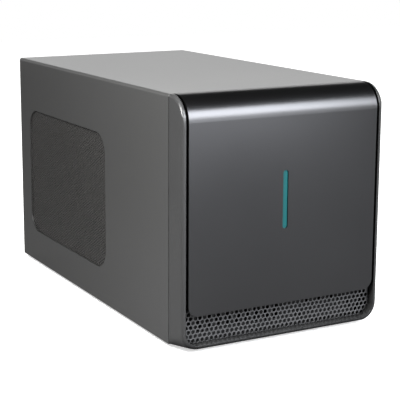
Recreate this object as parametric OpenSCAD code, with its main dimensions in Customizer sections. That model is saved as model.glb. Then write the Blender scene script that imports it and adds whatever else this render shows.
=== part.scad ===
// Desktop expansion chassis for one full-height, double-width add-in card.
// A folded tray, a bulkhead and a rear panel carry the working parts. A U-shaped cover
// slides over them from behind and is held by four thumbscrews.
// X runs to the right, Y to the back and Z up. The origin lies on the surface that the
// feet stand on, in the middle of the whole width and depth.

/* [Case] */
// Width over the cover
case_w = 185; // [182:1:196]
// Depth from the front face to the rear edge of the cover
case_d = 340; // [336:1:372]
// Height above the surface that the feet stand on
case_h = 202; // [196:1:222]
// Thickness of the cover's sheet
cover_t = 1.2; // [1:0.1:1.5]
// Thickness of the inner sheet metal
sheet_t = 1; // [0.8:0.1:1.3]
// Outer radius along the cover's long top edges
cover_edge_r = 2.5; // [1.8:0.1:4]
// Width of the lips that the cover turns in over the rear panel
lip_w = 10.5; // [10:0.5:11.5]
// Clearance between the cover and what it slides over
slide_gap = 0.3; // [0.2:0.05:0.5]
// Height of the tray's side flanges
flange_h = 12; // [8:1:16]
// Width of the flanges that are riveted to the tray
seat_w = 10; // [9:0.5:12]
// Diameter of the rivets
rivet_d = 3; // [2.4:0.1:3.6]

/* [Side vents] */
// Height of the vent opening
vent_h = 120; // [90:1:130]
// Corner radius of the vent opening
vent_r = 18; // [8:1:30]
// Distance from the front face to the vent openings
vent_y = 140; // [120:1:144]
// Distance from the vent openings to the rear edge of the cover
vent_rear = 24; // [20:1:40]
// Height of the vent opening's lower edge
vent_z = 34; // [28:1:44]
// Thickness of the perforated sheet behind each vent
vent_sheet_t = 0.8; // [0.6:0.1:1]
// Overlap of the perforated sheet round the opening
vent_lap = 6; // [4:0.5:9]
// Diameter of the vent holes
vent_hole_d = 4.2; // [2.5:0.1:4.6]
// Spacing of the vent holes
vent_pitch = 6.4; // [6:0.1:9]

/* [Feet] */
// Height of the rubber feet
foot_h = 3.4; // [2.4:0.1:5]
// Diameter of the rubber feet
foot_d = 12; // [9:0.5:16]
// Distance from the case's side to the middle of a front foot
foot_front_inset = 24; // [16:1:34]
// Distance from the case's side to the middle of a rear foot
foot_rear_inset = 13.5; // [11:0.5:24]
// Distance from the front face to the middle of the front feet
foot_front_y = 58; // [40:1:80]
// Distance from the rear edge to the middle of the rear feet
foot_rear_y = 56; // [30:1:80]

/* [Front bezel] */
// Depth of the moulded bezel
bezel_d = 22.2; // [20:0.2:26]
// Seam between the bezel and the cover
seam_gap = 0.6; // [0.3:0.05:0.8]
// Radius of the curve from the front over to the top
front_r = 20; // [14:1:21]
// Radius of the lower front corners
corner_r = 15; // [12:0.5:18]
// Width of the rim at the sides
rim_w = 3.2; // [3:0.1:4]
// Thickness of the rim at the bottom
rim_floor = 3.1; // [2.9:0.1:4]
// Rounding of the rim's outer edge
rim_edge_r = 2; // [1:0.1:2.5]
// Depth of the backing wall behind the front plate
backing_y = 5.5; // [4:0.1:7]
// Thickness of the backing wall
backing_t = 2; // [1.5:0.1:3]
// Height of the backing wall's lower edge
backing_z = 34; // [32:0.5:40]
// Thickness of the tongue that goes under the cover
tongue_t = 1.6; // [1.2:0.1:2]
// Length of the tongue that goes under the cover
tongue_l = 5; // [3:0.5:8]
// Diameter of the bosses that take the bezel's screws
boss_d = 7; // [6:0.5:9]

/* [Front plate] */
// Width of the groove between the rim and the plate
plate_gap = 2.3; // [1:0.1:4]
// Thickness of the plate
plate_t = 1.5; // [1:0.1:2]
// Height of the plate's lower edge
plate_z = 30.5; // [26:0.5:33]
// Gap between the plate and what it lies on
plate_fit = 0.1; // [0.05:0.05:0.2]
// Radius of the plate's lower corners
plate_r = 8.5; // [4:0.5:12]
// Width of the ribs that carry the plate
rib_w = 3; // [2:0.5:5]

/* [Front light] */
// Width of the light
light_w = 4.5; // [3:0.1:8]
// Length of the light
light_len = 47; // [30:1:60]
// Height of the light's middle
light_z = 115.4; // [90:0.1:130]
// Depth of the light's face below the plate
light_recess = 1; // [0.5:0.1:1.4]
// Wall of the duct that holds the light guide
light_wall = 1.5; // [1:0.1:2.5]
// Clearance round the light guide
light_fit = 0.15; // [0.1:0.05:0.3]
// Height of the light board
led_board_h = 76; // [72:1:90]
// Width of the light board
led_board_w = 14; // [12:0.5:20]

/* [Front grille] */
// Spacing of the honeycomb holes
hex_pitch = 4.15; // [4.05:0.05:6]
// Width of the web between the holes
hex_web = 0.95; // [0.8:0.05:1.4]
// Thickness of the grille sheet
grille_t = 0.8; // [0.6:0.1:1.2]
// Overlap of the grille sheet behind the rim
grille_lap = 1.9; // [1.2:0.1:2]
// Clearance round the grille sheet in its pocket
grille_fit = 0.2; // [0.1:0.05:0.3]
// Height of the plain strip along the top of the grille
grille_strip = 10; // [8:0.5:14]
// Diameter of the moulded pins that hold the grille
stake_d = 2.4; // [2:0.1:3]

/* [Thumbscrews] */
// Diameter of the knurled heads
knob_d = 8.4; // [7:0.1:9]
// Length of the heads behind the cover
knob_proud = 6; // [4:0.5:9]
// Diameter of the threaded shanks
knob_shank_d = 3; // [2.5:0.1:3.5]
// Distance from the case's side to the screws
knob_side_inset = 6.2; // [6:0.1:6.8]
// Height of the lower screws
knob_z = 22; // [18:1:27]
// Distance from the top of the case to the upper screws
knob_top_inset = 18; // [14:1:26]
// Radial clearance of the shanks in their nuts
knob_fit = 0.1; // [0.05:0.05:0.15]
// Height of the clinch nuts in the rear panel
nut_h = 3; // [2:0.5:5]
// Diameter of the clinch nuts
nut_d = 6; // [5.6:0.1:6.4]

/* [Card slots] */
// Spacing of the two card slots
slot_pitch = 20.32; // [20:0.02:21]
// Distance from the case's left side to the card's circuit board
card_inset = 49.5; // [47.5:0.5:52]
// Distance from the card's board to the middle of its bracket
bracket_offset = 6.4; // [5:0.1:7]
// Width of a card bracket
bracket_w = 18.42; // [17.5:0.02:19]
// Length of a card bracket below its tab
bracket_len = 120; // [116:0.5:121]
// Thickness of a card bracket
bracket_t = 0.9; // [0.7:0.05:1.1]
// Height of the bracket ledge above the main board
ledge_h = 114.5; // [113.5:0.5:118]
// Depth of the niche behind the brackets
niche_d = 12; // [11.5:0.5:15]
// Margin of the niche beside the outer brackets
niche_margin = 1.1; // [0.8:0.1:1.2]
// Width of each slot opening
slot_open_w = 13.4; // [11:0.2:15]
// Height of each slot opening
slot_open_h = 100; // [88:1:101]
// Clearance between a bracket and the panel
slot_fit = 0.1; // [0.05:0.05:0.2]
// Distance from a bracket's middle to its screw
bracket_screw_x = 4; // [2:0.5:5]
// Shank diameter of the bracket screws
bracket_screw_d = 3.2; // [2.8:0.1:3.5]

/* [Main board] */
// Distance from the main board to the foot of the fan's bracket
board_fan_gap = 4.9; // [3:0.1:12]
// Length of the main board in front of the slots
board_l = 166; // [162:1:180]
// Distance from the power supply to the part of the main board behind it
board_psu_gap = 43; // [36:1:60]
// Thickness of the main board
board_t = 1.6; // [1:0.1:2]
// Distance from the board's left edge to the case's side
board_side_gap = 6.5; // [5:0.5:10]
// Height of the standoffs
standoff_h = 6; // [5:0.5:7]
// Width across flats of the standoffs
standoff_af = 5.5; // [5:0.1:6]
// Shank diameter of the board screws
board_screw_d = 3; // [2.5:0.1:3.2]
// Length of the card connector
conn_l = 89; // [84:0.5:92]
// Width of the card connector
conn_w = 7.5; // [7:0.1:8.5]
// Height of the card connector
conn_h = 11.2; // [10:0.1:12]
// Distance from the slot plane to the card connector
conn_back = 46; // [44:0.5:50]
// Width of the groove that takes the card's edge
groove_w = 1.9; // [1.7:0.05:2.2]
// Depth of that groove
groove_d = 8; // [6:0.5:9]
// Height of the latch's tip above the main board
latch_h = 17; // [15:0.5:20]
// Diameter of the latch's pivot
latch_pin_d = 2; // [1.6:0.1:2.4]
// Radial clearance of the latch's pivot
latch_fit = 0.05; // [0.03:0.01:0.08]
// Length of each side of the heatsink
sink_w = 38; // [30:1:42]
// Height of the heatsink
sink_h = 16; // [10:1:24]
// Number of the heatsink's fins
sink_fins = 10; // [6:1:12]
// Width of the data port
port_w = 9; // [8.6:0.1:9.4]
// Height of the data port
port_h = 3.3; // [3:0.1:3.6]
// Distance from the case's left side to the middle of the data port
port_inset = 98.5; // [82:0.5:110]

/* [Case fan] */
// Width and height of the fan's frame
fan_size = 120; // [112:1:122]
// Thickness of the fan's frame
fan_t = 25; // [22:0.5:27]
// Spacing of the fan's screw holes
fan_hole_pitch = 105; // [98:0.5:106]
// Diameter of the fan's air duct
fan_duct_d = 115; // [104:1:116]
// Clearance between the blade tips and the duct
fan_tip_gap = 1.2; // [0.8:0.1:2.5]
// Diameter of the rotor's hub
fan_hub_d = 40; // [34:1:46]
// Number of blades
fan_blades = 9; // [5:1:11]
// Diameter of the fan's shaft
fan_shaft_d = 3; // [2.5:0.1:4]
// Radial clearance of the shaft in its bearing
bearing_fit = 0.05; // [0.03:0.01:0.08]
// Gap between the fan and the cover's perforated sheet
fan_side_gap = 3; // [2:0.5:5]
// Diameter of the fan's screws
fan_screw_d = 4; // [3.5:0.1:4.3]
// Diameter of the guards' wire
wire_d = 1.6; // [1.2:0.1:2]

/* [Power supply] */
// Width of the power supply
psu_w = 63.5; // [58:0.5:65]
// Depth of the power supply
psu_d = 100; // [94:1:106]
// Height of the power supply
psu_h = 125; // [116:1:130]
// Distance from the power supply to the case's side
psu_side_gap = 5; // [4:0.5:8]
// Thickness of the power supply's case
psu_t = 0.8; // [0.6:0.1:1.2]
// Size of the power supply's own fan
psu_fan_size = 92; // [86:1:92]
// Thickness of that fan
psu_fan_t = 15; // [12:0.5:20]
// Distance from the power supply's edges to its screws
psu_screw_inset = 6; // [5:0.5:7]
// Diameter of the power supply's screws
psu_screw_d = 3.5; // [3:0.1:4]

/* [Mains inlet] */
// Distance from the case's right side to the middle of the inlet
inlet_inset = 36.5; // [36.5:0.5:40]
// Height of the inlet's middle
inlet_z = 42; // [36:1:60]
// Width of the inlet's flange
inlet_flange_w = 50; // [49:0.5:51]
// Height of the inlet's flange
inlet_flange_h = 24; // [22:0.5:27]
// Thickness of the inlet's flange
inlet_flange_t = 2; // [1.5:0.1:3]
// Spacing of the inlet's screws
inlet_pitch = 40; // [38:0.5:41]
// Width of the inlet's body
inlet_body_w = 28; // [27:0.1:30]
// Height of the inlet's body
inlet_body_h = 20.4; // [20:0.1:22]
// Length of the inlet's body inside the case
inlet_body_l = 20; // [18:0.5:24]
// Width of the socket in the inlet
inlet_socket_w = 24; // [23.5:0.1:25]
// Height of the socket in the inlet
inlet_socket_h = 16.4; // [16:0.1:17]
// Depth of the socket in the inlet
inlet_socket_d = 15; // [14:0.5:16]
// Shank diameter of the inlet's screws
inlet_screw_d = 3; // [2.5:0.1:3.4]

/* [Rear panel vents] */
// Spacing of the rear vent holes
rear_pitch = 7; // [6.4:0.1:9]
// Diameter of the rear vent holes
rear_hole_d = 4.6; // [3:0.1:5]

/* [Hidden] */
$fn = 48;
// Overrun of every cut past the face that it opens
over = 1;
// Thickness of the slices that the bezel's outer form is stretched over
skin = 0.02;
// Hole clearance round a screw that passes through a sheet
hole_fit = 0.25;
// Clearance between a screw and the bore that it is threaded into
thread_fit = 0.05;
// Margin of the fan's bracket round the fan
fan_margin = 6;
// Place of the fan in the room between the power supply and the mains inlet
fan_place_share = 0.65;
// Width and height of the mains inlet's contacts
inlet_pin_size = [2, 4];
// Distance from the bracket ledge down to the slot openings
slot_open_drop = 8;
// Number and twist of the power supply's fan blades, and the twist of the case fan's
psu_fan_blades = 7;
psu_fan_twist = 30;
fan_twist = 34;
// Proportions shared by all small screws, in shank diameters
head_share = 1.9;
head_h_share = 0.7;
head_bevel_share = 0.35;

x_side = case_w / 2;
x_inner = x_side - cover_t;
x_tray = x_inner - slide_gap;
x_panel = x_inner - vent_sheet_t - 2 * slide_gap;
y_front = -(case_d + knob_proud) / 2;
vent_len = case_d - vent_y - vent_rear;
y_bezel = y_front + bezel_d;
y_seam = y_bezel + seam_gap;
y_back = y_front + case_d;
y_bulk = y_bezel + sheet_t;
y_bay = y_bulk + sheet_t;
y_panel = y_back - cover_t - slide_gap;
y_slot = y_panel - niche_d;
z_base = foot_h;
z_floor = z_base + sheet_t;
z_roof = case_h - cover_t;
z_inner = z_roof - slide_gap;

x_recess = x_side - rim_w;
x_plate = x_recess - plate_gap;
z_recess = z_base + rim_floor;
recess_r = corner_r - rim_w;
curve_r = min(front_r, bezel_d - tongue_t);
y_backing = y_front + backing_y;
y_grille = y_backing + backing_t;
x_grille = x_recess + grille_lap - grille_fit;
z_grille = z_recess - grille_lap + grille_fit;
z_grille_top = backing_z + grille_strip;
grille_r = recess_r + grille_lap - grille_fit;
z_tongue = z_grille_top + tongue_l;
x_bulk = x_tray - tongue_t - slide_gap;
z_bulk = z_inner - tongue_t - slide_gap;

card_x = card_inset - x_side;
inlet_x = x_side - inlet_inset;
port_x = port_inset - x_side;
z_board = z_floor + standoff_h;
z_board_top = z_board + board_t;
z_ledge = z_board_top + ledge_h;
slot_x = [for (i = [0, 1]) card_x - bracket_offset - i * slot_pitch];
niche_x1 = slot_x[1] - bracket_w / 2 - niche_margin;
niche_x2 = slot_x[0] + bracket_w / 2 + niche_margin;
niche_z = z_board;
z_slot_open = z_ledge - slot_open_h - slot_open_drop;
y_bracket = y_slot - sheet_t - slot_fit;
tab_l = niche_d - sheet_t;
y_ledge_screw = y_slot + tab_l / 2;

conn_y2 = y_slot - conn_back;
conn_y1 = conn_y2 - conn_l;
cheek_t = 1.4;
cheek_l = 9;
latch_y = conn_y1 - cheek_l / 2;
latch_z = z_board_top + conn_h / 2;

psu_x2 = x_side - psu_side_gap;
psu_x1 = psu_x2 - psu_w;
psu_y1 = y_bay;
psu_y2 = psu_y1 + psu_d;
psu_z1 = z_floor + sheet_t + slide_gap;
psu_z2 = psu_z1 + psu_h;
psu_mid_y = (psu_y1 + psu_y2) / 2;
psu_mid_z = (psu_z1 + psu_z2) / 2;
psu_duct_d = psu_fan_size - 4 * sheet_t;

fan_x2 = x_panel - fan_side_gap;
fan_x1 = fan_x2 - fan_t;
fan_room = y_panel - inlet_body_l - inlet_pin_size[1] - psu_y2 - fan_size - 2 * fan_margin;
fan_y = psu_y2 + fan_margin + fan_size / 2 + fan_place_share * fan_room;
fan_z = vent_z + vent_h / 2;
fan_hole = fan_hole_pitch / 2;
bracket_x = fan_x1 - sheet_t;

board_x1 = board_side_gap - x_side;
board_x2 = bracket_x - seat_w - board_fan_gap;
board_y2 = y_bracket - bracket_t - sheet_t;
board_y1 = board_y2 - board_l;
board_y3 = y_panel - 2 * sheet_t;
board_step_x = niche_x2 + 3 * sheet_t;
board_knee_x = psu_x1 - 4 * sheet_t;
board_knee_y = psu_y2 + board_psu_gap;
standoff_places = [
    [board_x1 + standoff_af, board_y1 + standoff_af],
    [board_x2 - standoff_af, board_knee_y + standoff_af],
    [board_x1 + standoff_af, board_y2 - standoff_af],
    [board_x2 - standoff_af, board_y3 - seat_w - standoff_af],
    [card_x + 2 * standoff_af, board_y1 + standoff_af],
    [card_x + 2 * standoff_af, board_y2 - standoff_af]
];

knob_places = [
    [knob_side_inset - x_side, knob_z],
    [x_side - knob_side_inset, knob_z],
    [knob_side_inset - x_side, case_h - knob_top_inset],
    [x_side - knob_side_inset, case_h - knob_top_inset]
];

// A block between two opposite corners
module block(low, high) {
    translate(low) cube(high - low);
}

// An outline drawn in X and Z, made solid between two depths
module along_y(y1, y2) {
    translate([0, y2, 0]) rotate([90, 0, 0]) linear_extrude(y2 - y1) children();
}

// A side view drawn in Y and Z, made solid between two widths
module along_x(x1, x2) {
    translate([x1, 0, 0]) rotate([90, 0, 90]) linear_extrude(x2 - x1) children();
}

// A rectangle between two corners with its corners rounded
module round_rect(low, high, r) {
    translate([low[0] + r, low[1]]) square([high[0] - low[0] - 2 * r, high[1] - low[1]]);
    translate([low[0], low[1] + r]) square([high[0] - low[0], high[1] - low[1] - 2 * r]);
    for (x = [low[0] + r, high[0] - r], y = [low[1] + r, high[1] - r])
        translate([x, y]) circle(r = r);
}

// A rectangle with only its upper corners rounded
module arch(x, z1, z2, r) {
    translate([-x, z1]) square([2 * x, z2 - r - z1]);
    translate([r - x, z1]) square([2 * (x - r), z2 - z1]);
    for (s = [-1, 1])
        translate([s * (x - r), z2 - r]) circle(r = r);
}

// A rectangle with only its lower corners rounded
module tub(x, z1, z2, r) {
    translate([-x, z1 + r]) square([2 * x, z2 - r - z1]);
    translate([r - x, z1]) square([2 * (x - r), z2 - z1]);
    for (s = [-1, 1])
        translate([s * (x - r), z1 + r]) circle(r = r);
}

// An upright slot with round ends, given by its middle
module upright_slot(x, z, w, len) {
    translate([x - w / 2, z - (len - w) / 2]) square([w, len - w]);
    for (s = [-1, 1])
        translate([x, z + s * (len - w) / 2]) circle(d = w);
}

// A level slot with round ends, given by its middle
module level_slot(x, z, w, h) {
    translate([x - (w - h) / 2, z - h / 2]) square([w - h, h]);
    for (s = [-1, 1])
        translate([x + s * (w - h) / 2, z]) circle(d = h);
}

// A screw with its shank down from the origin and its head above
module pan_screw(d, len) {
    head_r = head_share * d / 2;
    bevel = head_bevel_share * d;
    straight = head_h_share * d - bevel;
    translate([0, 0, -len]) cylinder(h = len, d = d);
    cylinder(h = straight, r = head_r);
    translate([0, 0, straight]) cylinder(h = bevel, r1 = head_r, r2 = head_r - bevel);
}

// Everything behind the front and top faces, a given depth below them, seen from the side
module front_profile(depth) {
    translate([y_front + depth, 0]) square([bezel_d - depth, case_h - curve_r]);
    translate([y_front + curve_r, 0]) square([bezel_d - curve_r, case_h - depth]);
    translate([y_front + curve_r, case_h - curve_r]) circle(r = curve_r - depth);
}

// The layer between two depths below the front and top faces
module front_layer(depth1, depth2) {
    difference() {
        front_profile(depth1);
        front_profile(depth2);
        translate([y_bezel, -over]) square([over, case_h + 2 * over]);
    }
}

// Sheet-metal frame

module base_tray() {
    color("#3a3a3c") difference() {
        along_y(y_seam, y_panel) difference() {
            tub(x_tray, z_base, z_floor + flange_h, sheet_t);
            translate([sheet_t - x_tray, z_floor]) square([2 * (x_tray - sheet_t), flange_h + over]);
        }
        tray_rivets() cylinder(h = z_floor + over, d = rivet_d);
        for (p = standoff_places)
            translate([p[0], p[1], 0]) cylinder(h = z_floor + over, d = board_screw_d + 2 * hole_fit);
    }
}

front_rivet_shares = [-0.85, -0.3];
rear_rivet_shares = [-0.2, 0.3, 0.85];

// The places where the bulkhead, the rear panel and the fan bracket are riveted to the tray
module tray_rivets() {
    for (x = concat(front_rivet_shares * x_bulk, psu_x1 - seat_w))
        translate([x, y_bay + seat_w / 2, 0]) children();
    for (share = rear_rivet_shares)
        translate([share * x_bulk, y_panel - sheet_t - seat_w / 2, 0]) children();
    for (s = [-1, 1])
        translate([bracket_x - seat_w / 2, fan_y + s * (fan_hole - seat_w), 0]) children();
}

module chassis_rivets() {
    head_r = rivet_d * 0.85;
    head_h = rivet_d * 0.25;
    color("silver") tray_rivets() {
        translate([0, 0, z_base]) cylinder(h = 2 * sheet_t, d = rivet_d);
        translate([0, 0, z_base - head_h]) cylinder(h = head_h, r1 = head_r - head_h, r2 = head_r);
        translate([0, 0, z_floor + sheet_t]) cylinder(h = head_h, r = head_r);
    }
}

bezel_boss_places = [
    [-x_plate * 0.86, backing_z + boss_d * 3],
    [psu_x1 - boss_d, backing_z + boss_d * 3],
    [-x_plate * 0.86, case_h - front_r - boss_d],
    [x_plate * 0.86, case_h - front_r - boss_d]
];
bezel_screw_d = 3;

module front_bulkhead() {
    color("#3a3a3c") difference() {
        union() {
            along_y(y_bulk, y_bay) arch(x_bulk, z_floor, z_bulk, cover_edge_r);
            block([-x_bulk, y_bulk, z_floor], [x_bulk, y_bay + seat_w, z_floor + sheet_t]);
            block([cover_edge_r - x_bulk, y_bulk, z_bulk - sheet_t],
                  [x_bulk - cover_edge_r, y_bay + seat_w, z_bulk]);
            for (s = [0, 1]) mirror([s, 0, 0])
                block([x_bulk - sheet_t, y_bulk, z_floor + flange_h + seat_w],
                      [x_bulk, y_bay + seat_w, z_bulk - cover_edge_r]);
        }
        tray_rivets() cylinder(h = z_floor + sheet_t + over, d = rivet_d);
        along_y(y_bulk - over, y_bay + over) {
            round_rect([psu_x1 + psu_frame, psu_z1 + psu_frame],
                       [psu_x2 - psu_frame, psu_z2 - psu_frame], psu_frame / 2);
            for (x = [seat_w + vent_slot_w - x_bulk : vent_slot_pitch : psu_x1 - seat_w])
                upright_slot(x, (z_floor + backing_z + seat_w) / 2, vent_slot_w, backing_z - seat_w / 2);
            for (p = bezel_boss_places)
                translate(p) circle(d = bezel_screw_d + 2 * hole_fit);
            for (p = psu_screw_places)
                translate(p) circle(d = psu_screw_d + 2 * hole_fit);
        }
    }
}
psu_frame = 12;
vent_slot_w = 5;
vent_slot_pitch = 9;

// Holes in rows and offset columns that keep inside a rectangle
module hole_field(low, high, pitch, d) {
    step = pitch * cos(30);
    for (i = [0 : floor((high[0] - low[0] - d) / step)])
        for (j = [0 : floor((high[1] - low[1] - d) / pitch - 0.5 * (i % 2))])
            translate([low[0] + d / 2 + i * step, low[1] + d / 2 + (j + 0.5 * (i % 2)) * pitch])
                circle(d = d);
}

module inlet_outline(w, h, cut) {
    polygon([
        [-w / 2, -h / 2], [w / 2, -h / 2], [w / 2, h / 2 - cut], [w / 2 - cut, h / 2],
        [cut - w / 2, h / 2], [-w / 2, h / 2 - cut]
    ]);
}
inlet_cut_share = 0.3;
inlet_fit = 0.3;
lock_w = 7;
lock_h = 3;
lock_x = port_x + 3 * port_w;
z_port = z_board_top + port_h / 2;

module rear_panel() {
    panel_margin = lip_w - cover_t + rear_pitch / 2;
    color("#3a3a3c") difference() {
        union() {
            difference() {
                along_y(y_panel - sheet_t, y_panel)
                    translate([-x_panel, z_floor]) square([2 * x_panel, z_inner - z_floor]);
                block([niche_x1, y_panel - sheet_t - over, niche_z], [niche_x2, y_panel + over, z_ledge]);
            }
            // the niche that holds the card brackets, with the ledge on top
            block([niche_x1 - sheet_t, y_slot - sheet_t, z_floor], [niche_x2 + sheet_t, y_slot, z_ledge]);
            for (x = [niche_x1 - sheet_t, niche_x2])
                block([x, y_slot - sheet_t, niche_z - sheet_t], [x + sheet_t, y_panel, z_ledge]);
            for (z = [niche_z - sheet_t, z_ledge - sheet_t])
                block([niche_x1 - sheet_t, y_slot - sheet_t, z], [niche_x2 + sheet_t, y_panel, z + sheet_t]);
            // the flanges along the bottom and the top
            block([niche_x2, y_panel - sheet_t - seat_w, z_floor], [x_panel, y_panel, z_floor + sheet_t]);
            block([-x_panel, y_panel - sheet_t - seat_w, z_inner - sheet_t], [x_panel, y_panel, z_inner]);
        }
        tray_rivets() cylinder(h = z_floor + sheet_t + over, d = rivet_d);
        along_y(y_slot - sheet_t - over, y_slot + over)
            for (x = slot_x)
                round_rect([x - slot_open_w / 2, z_slot_open],
                           [x + slot_open_w / 2, z_slot_open + slot_open_h], sheet_t);
        for (x = slot_x)
            translate([x + bracket_screw_x, y_ledge_screw, z_ledge - sheet_t - over])
                cylinder(h = sheet_t + 2 * over, d = bracket_screw_d + 2 * thread_fit);
        along_y(y_panel - sheet_t - over, y_panel + over) {
            for (p = knob_places)
                translate(p) circle(d = knob_shank_d + 2 * knob_fit);
            level_slot(port_x, z_port, port_w + 2 * inlet_fit, port_h + 2 * inlet_fit);
            level_slot(lock_x, z_port + lock_h, lock_w, lock_h);
            translate([inlet_x, inlet_z])
                inlet_outline(inlet_body_w + 2 * inlet_fit, inlet_body_h + 2 * inlet_fit,
                              inlet_cut_share * inlet_body_h);
            for (s = [-1, 1])
                translate([inlet_x + s * inlet_pitch / 2, inlet_z])
                    circle(d = inlet_screw_d + 2 * thread_fit);
            hole_field([niche_x2 + rear_pitch, inlet_z + inlet_flange_h],
                       [x_side - panel_margin, case_h - panel_margin], rear_pitch, rear_hole_d);
            hole_field([panel_margin - x_side, z_ledge + bracket_t + rear_pitch],
                       [niche_x2, case_h - panel_margin], rear_pitch, rear_hole_d);
        }
    }
}

module panel_nuts() {
    color("silver") for (p = knob_places)
        along_y(y_panel - sheet_t - nut_h, y_panel - sheet_t) translate(p) difference() {
            circle(d = nut_d);
            circle(d = knob_shank_d + 2 * knob_fit);
        }
}

module foot(x, y) {
    taper = foot_h * 0.35;
    color("#1c1c1c") translate([x, y, 0])
        cylinder(h = z_base, d1 = foot_d - 2 * taper, d2 = foot_d);
}
module foot_front_left() {
    foot(foot_front_inset - x_side, y_front + foot_front_y);
}
module foot_front_right() {
    foot(x_side - foot_front_inset, y_front + foot_front_y);
}
module foot_rear_left() {
    foot(foot_rear_inset - x_side, y_back - foot_rear_y);
}
module foot_rear_right() {
    foot(x_side - foot_rear_inset, y_back - foot_rear_y);
}

// Front of the case

// Slices from the front face back: the outer edge rounds off, the top curves over and
// the lower corners go from round at the front to square at the seam
slice_depths = concat(
    [for (a = [0 : 22.5 : 67.5]) rim_edge_r * (1 - cos(a))],
    [for (a = [30 : 10 : 90]) curve_r * (1 - cos(a))],
    [bezel_d - skin]
);
function edge_in(depth) =
    depth < rim_edge_r ? rim_edge_r - sqrt(pow(rim_edge_r, 2) - pow(rim_edge_r - depth, 2)) : 0;
function top_at(depth) =
    depth < curve_r ? case_h - curve_r + sqrt(pow(curve_r, 2) - pow(curve_r - depth, 2)) : case_h;
function corner_at(depth) = corner_r + (rim_edge_r - corner_r) * depth / bezel_d;

module bezel_form() {
    hull() for (depth = slice_depths, s = [-1, 1]) {
        r = corner_at(depth);
        x = x_side - edge_in(depth);
        translate([s * (x - r), y_front + depth + skin, z_base + edge_in(depth) + r])
            rotate([90, 0, 0]) cylinder(h = skin, r = r, $fn = 32);
        translate([s * (x - cover_edge_r), y_front + depth + skin, top_at(depth) - cover_edge_r])
            rotate([90, 0, 0]) cylinder(h = skin, r = cover_edge_r, $fn = 32);
    }
}

stake_x_shares = [-0.8, -0.28, 0.28, 0.8];
z_stake = backing_z + grille_strip / 2;
led_boss_z = led_board_h / 2 - stake_d;
y_guide = y_grille + sheet_t;

module front_bezel() {
    color("#2c2c2e") difference() {
        union() {
            difference() {
                bezel_form();
                along_y(y_front - over, y_seam + over)
                    tub(x_recess, z_recess, case_h + over, recess_r);
                along_y(y_grille, y_seam + over)
                    tub(x_recess + grille_lap, z_recess - grille_lap, z_grille_top + grille_fit,
                        recess_r + grille_lap);
            }
            // the backing wall behind the plate, and the ribs and duct on its face
            intersection() {
                along_x(rim_edge_r - x_side, x_side - rim_edge_r) front_layer(backing_y, backing_y + backing_t);
                block([-x_side, y_front, backing_z], [x_side, y_seam, case_h]);
            }
            intersection() {
                for (s = [0, 1]) mirror([s, 0, 0])
                    along_x(x_plate - 2 * rib_w, x_plate - rib_w) front_layer(plate_t + plate_fit, backing_y);
                block([-x_side, y_front, backing_z], [x_side, y_seam, case_h]);
            }
            block([2 * rib_w - x_plate, y_front + plate_t + plate_fit, backing_z],
                  [x_plate - 2 * rib_w, y_backing, backing_z + rib_w]);
            along_y(y_front + plate_t + plate_fit, y_backing)
                upright_slot(0, light_z, light_w + 2 * light_wall, light_len + 2 * light_wall);
            // the tongue under the cover and the web that carries the plate's rear edge
            along_y(y_bezel - tongue_t, y_seam + tongue_l) difference() {
                arch(x_tray, z_tongue, z_inner, cover_edge_r);
                arch(x_tray - tongue_t, z_tongue - over, z_inner - tongue_t, cover_edge_r);
            }
            block([-x_recess, y_bezel - tongue_t, case_h - backing_y - backing_t],
                  [x_recess, y_bezel, case_h - plate_t - plate_fit]);
            for (p = bezel_boss_places)
                along_y(y_backing, y_bulk) translate(p) circle(d = boss_d);
            for (s = [-1, 1])
                along_y(y_backing, y_guide) translate([0, light_z + s * led_boss_z]) circle(d = 2 * stake_d);
            for (share = stake_x_shares) {
                along_y(y_backing, y_grille + grille_t) translate([share * x_plate, z_stake])
                    circle(d = stake_d);
                along_y(y_grille + grille_t, y_grille + 2 * grille_t) translate([share * x_plate, z_stake])
                    circle(d = 2 * stake_d);
            }
        }
        along_y(y_front - over, y_guide + over)
            upright_slot(0, light_z, light_w + 2 * light_fit, light_len + 2 * light_fit);
        for (p = bezel_boss_places)
            along_y(y_grille, y_bulk + over) translate(p) circle(d = bezel_screw_d + 2 * thread_fit);
        for (s = [-1, 1])
            along_y(y_grille, y_guide + over) translate([0, light_z + s * led_boss_z])
                circle(d = stake_d + 2 * thread_fit);
    }
}

module front_plate() {
    color("#4a4a4c") difference() {
        intersection() {
            along_x(-x_plate, x_plate) front_layer(0, plate_t);
            along_y(y_front - over, y_seam) tub(x_plate, plate_z, case_h + over, plate_r);
        }
        along_y(y_front - over, y_backing)
            upright_slot(0, light_z, light_w + 2 * light_fit, light_len + 2 * light_fit);
    }
}

module light_guide() {
    color("#1fb4b4") {
        along_y(y_front + light_recess, y_grille) upright_slot(0, light_z, light_w, light_len);
        along_y(y_grille, y_guide)
            upright_slot(0, light_z, light_w + 2 * light_wall, light_len + 2 * light_wall);
    }
}

module led_board() {
    led_w = light_w / 2;
    color("#17603a") along_y(y_guide, y_guide + board_t) difference() {
        round_rect([-led_board_w / 2, light_z - led_board_h / 2],
                   [led_board_w / 2, light_z + led_board_h / 2], sheet_t);
        for (s = [-1, 1])
            translate([0, light_z + s * led_boss_z]) circle(d = stake_d + 2 * thread_fit);
    }
    color("silver") for (s = [-1, 1])
        translate([0, y_guide + board_t, light_z + s * led_boss_z]) rotate([-90, 0, 0])
            pan_screw(stake_d, board_t + sheet_t);
    color("#202020") along_y(y_guide + board_t, y_guide + board_t + led_w)
        round_rect([-led_w, light_z - led_w], [led_w, light_z + led_w], sheet_t / 2);
}

row_step = hex_pitch * cos(30);
hex_r = (hex_pitch - hex_web) / (2 * cos(30));
hex_z = z_grille + 2 * hex_r;
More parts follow.
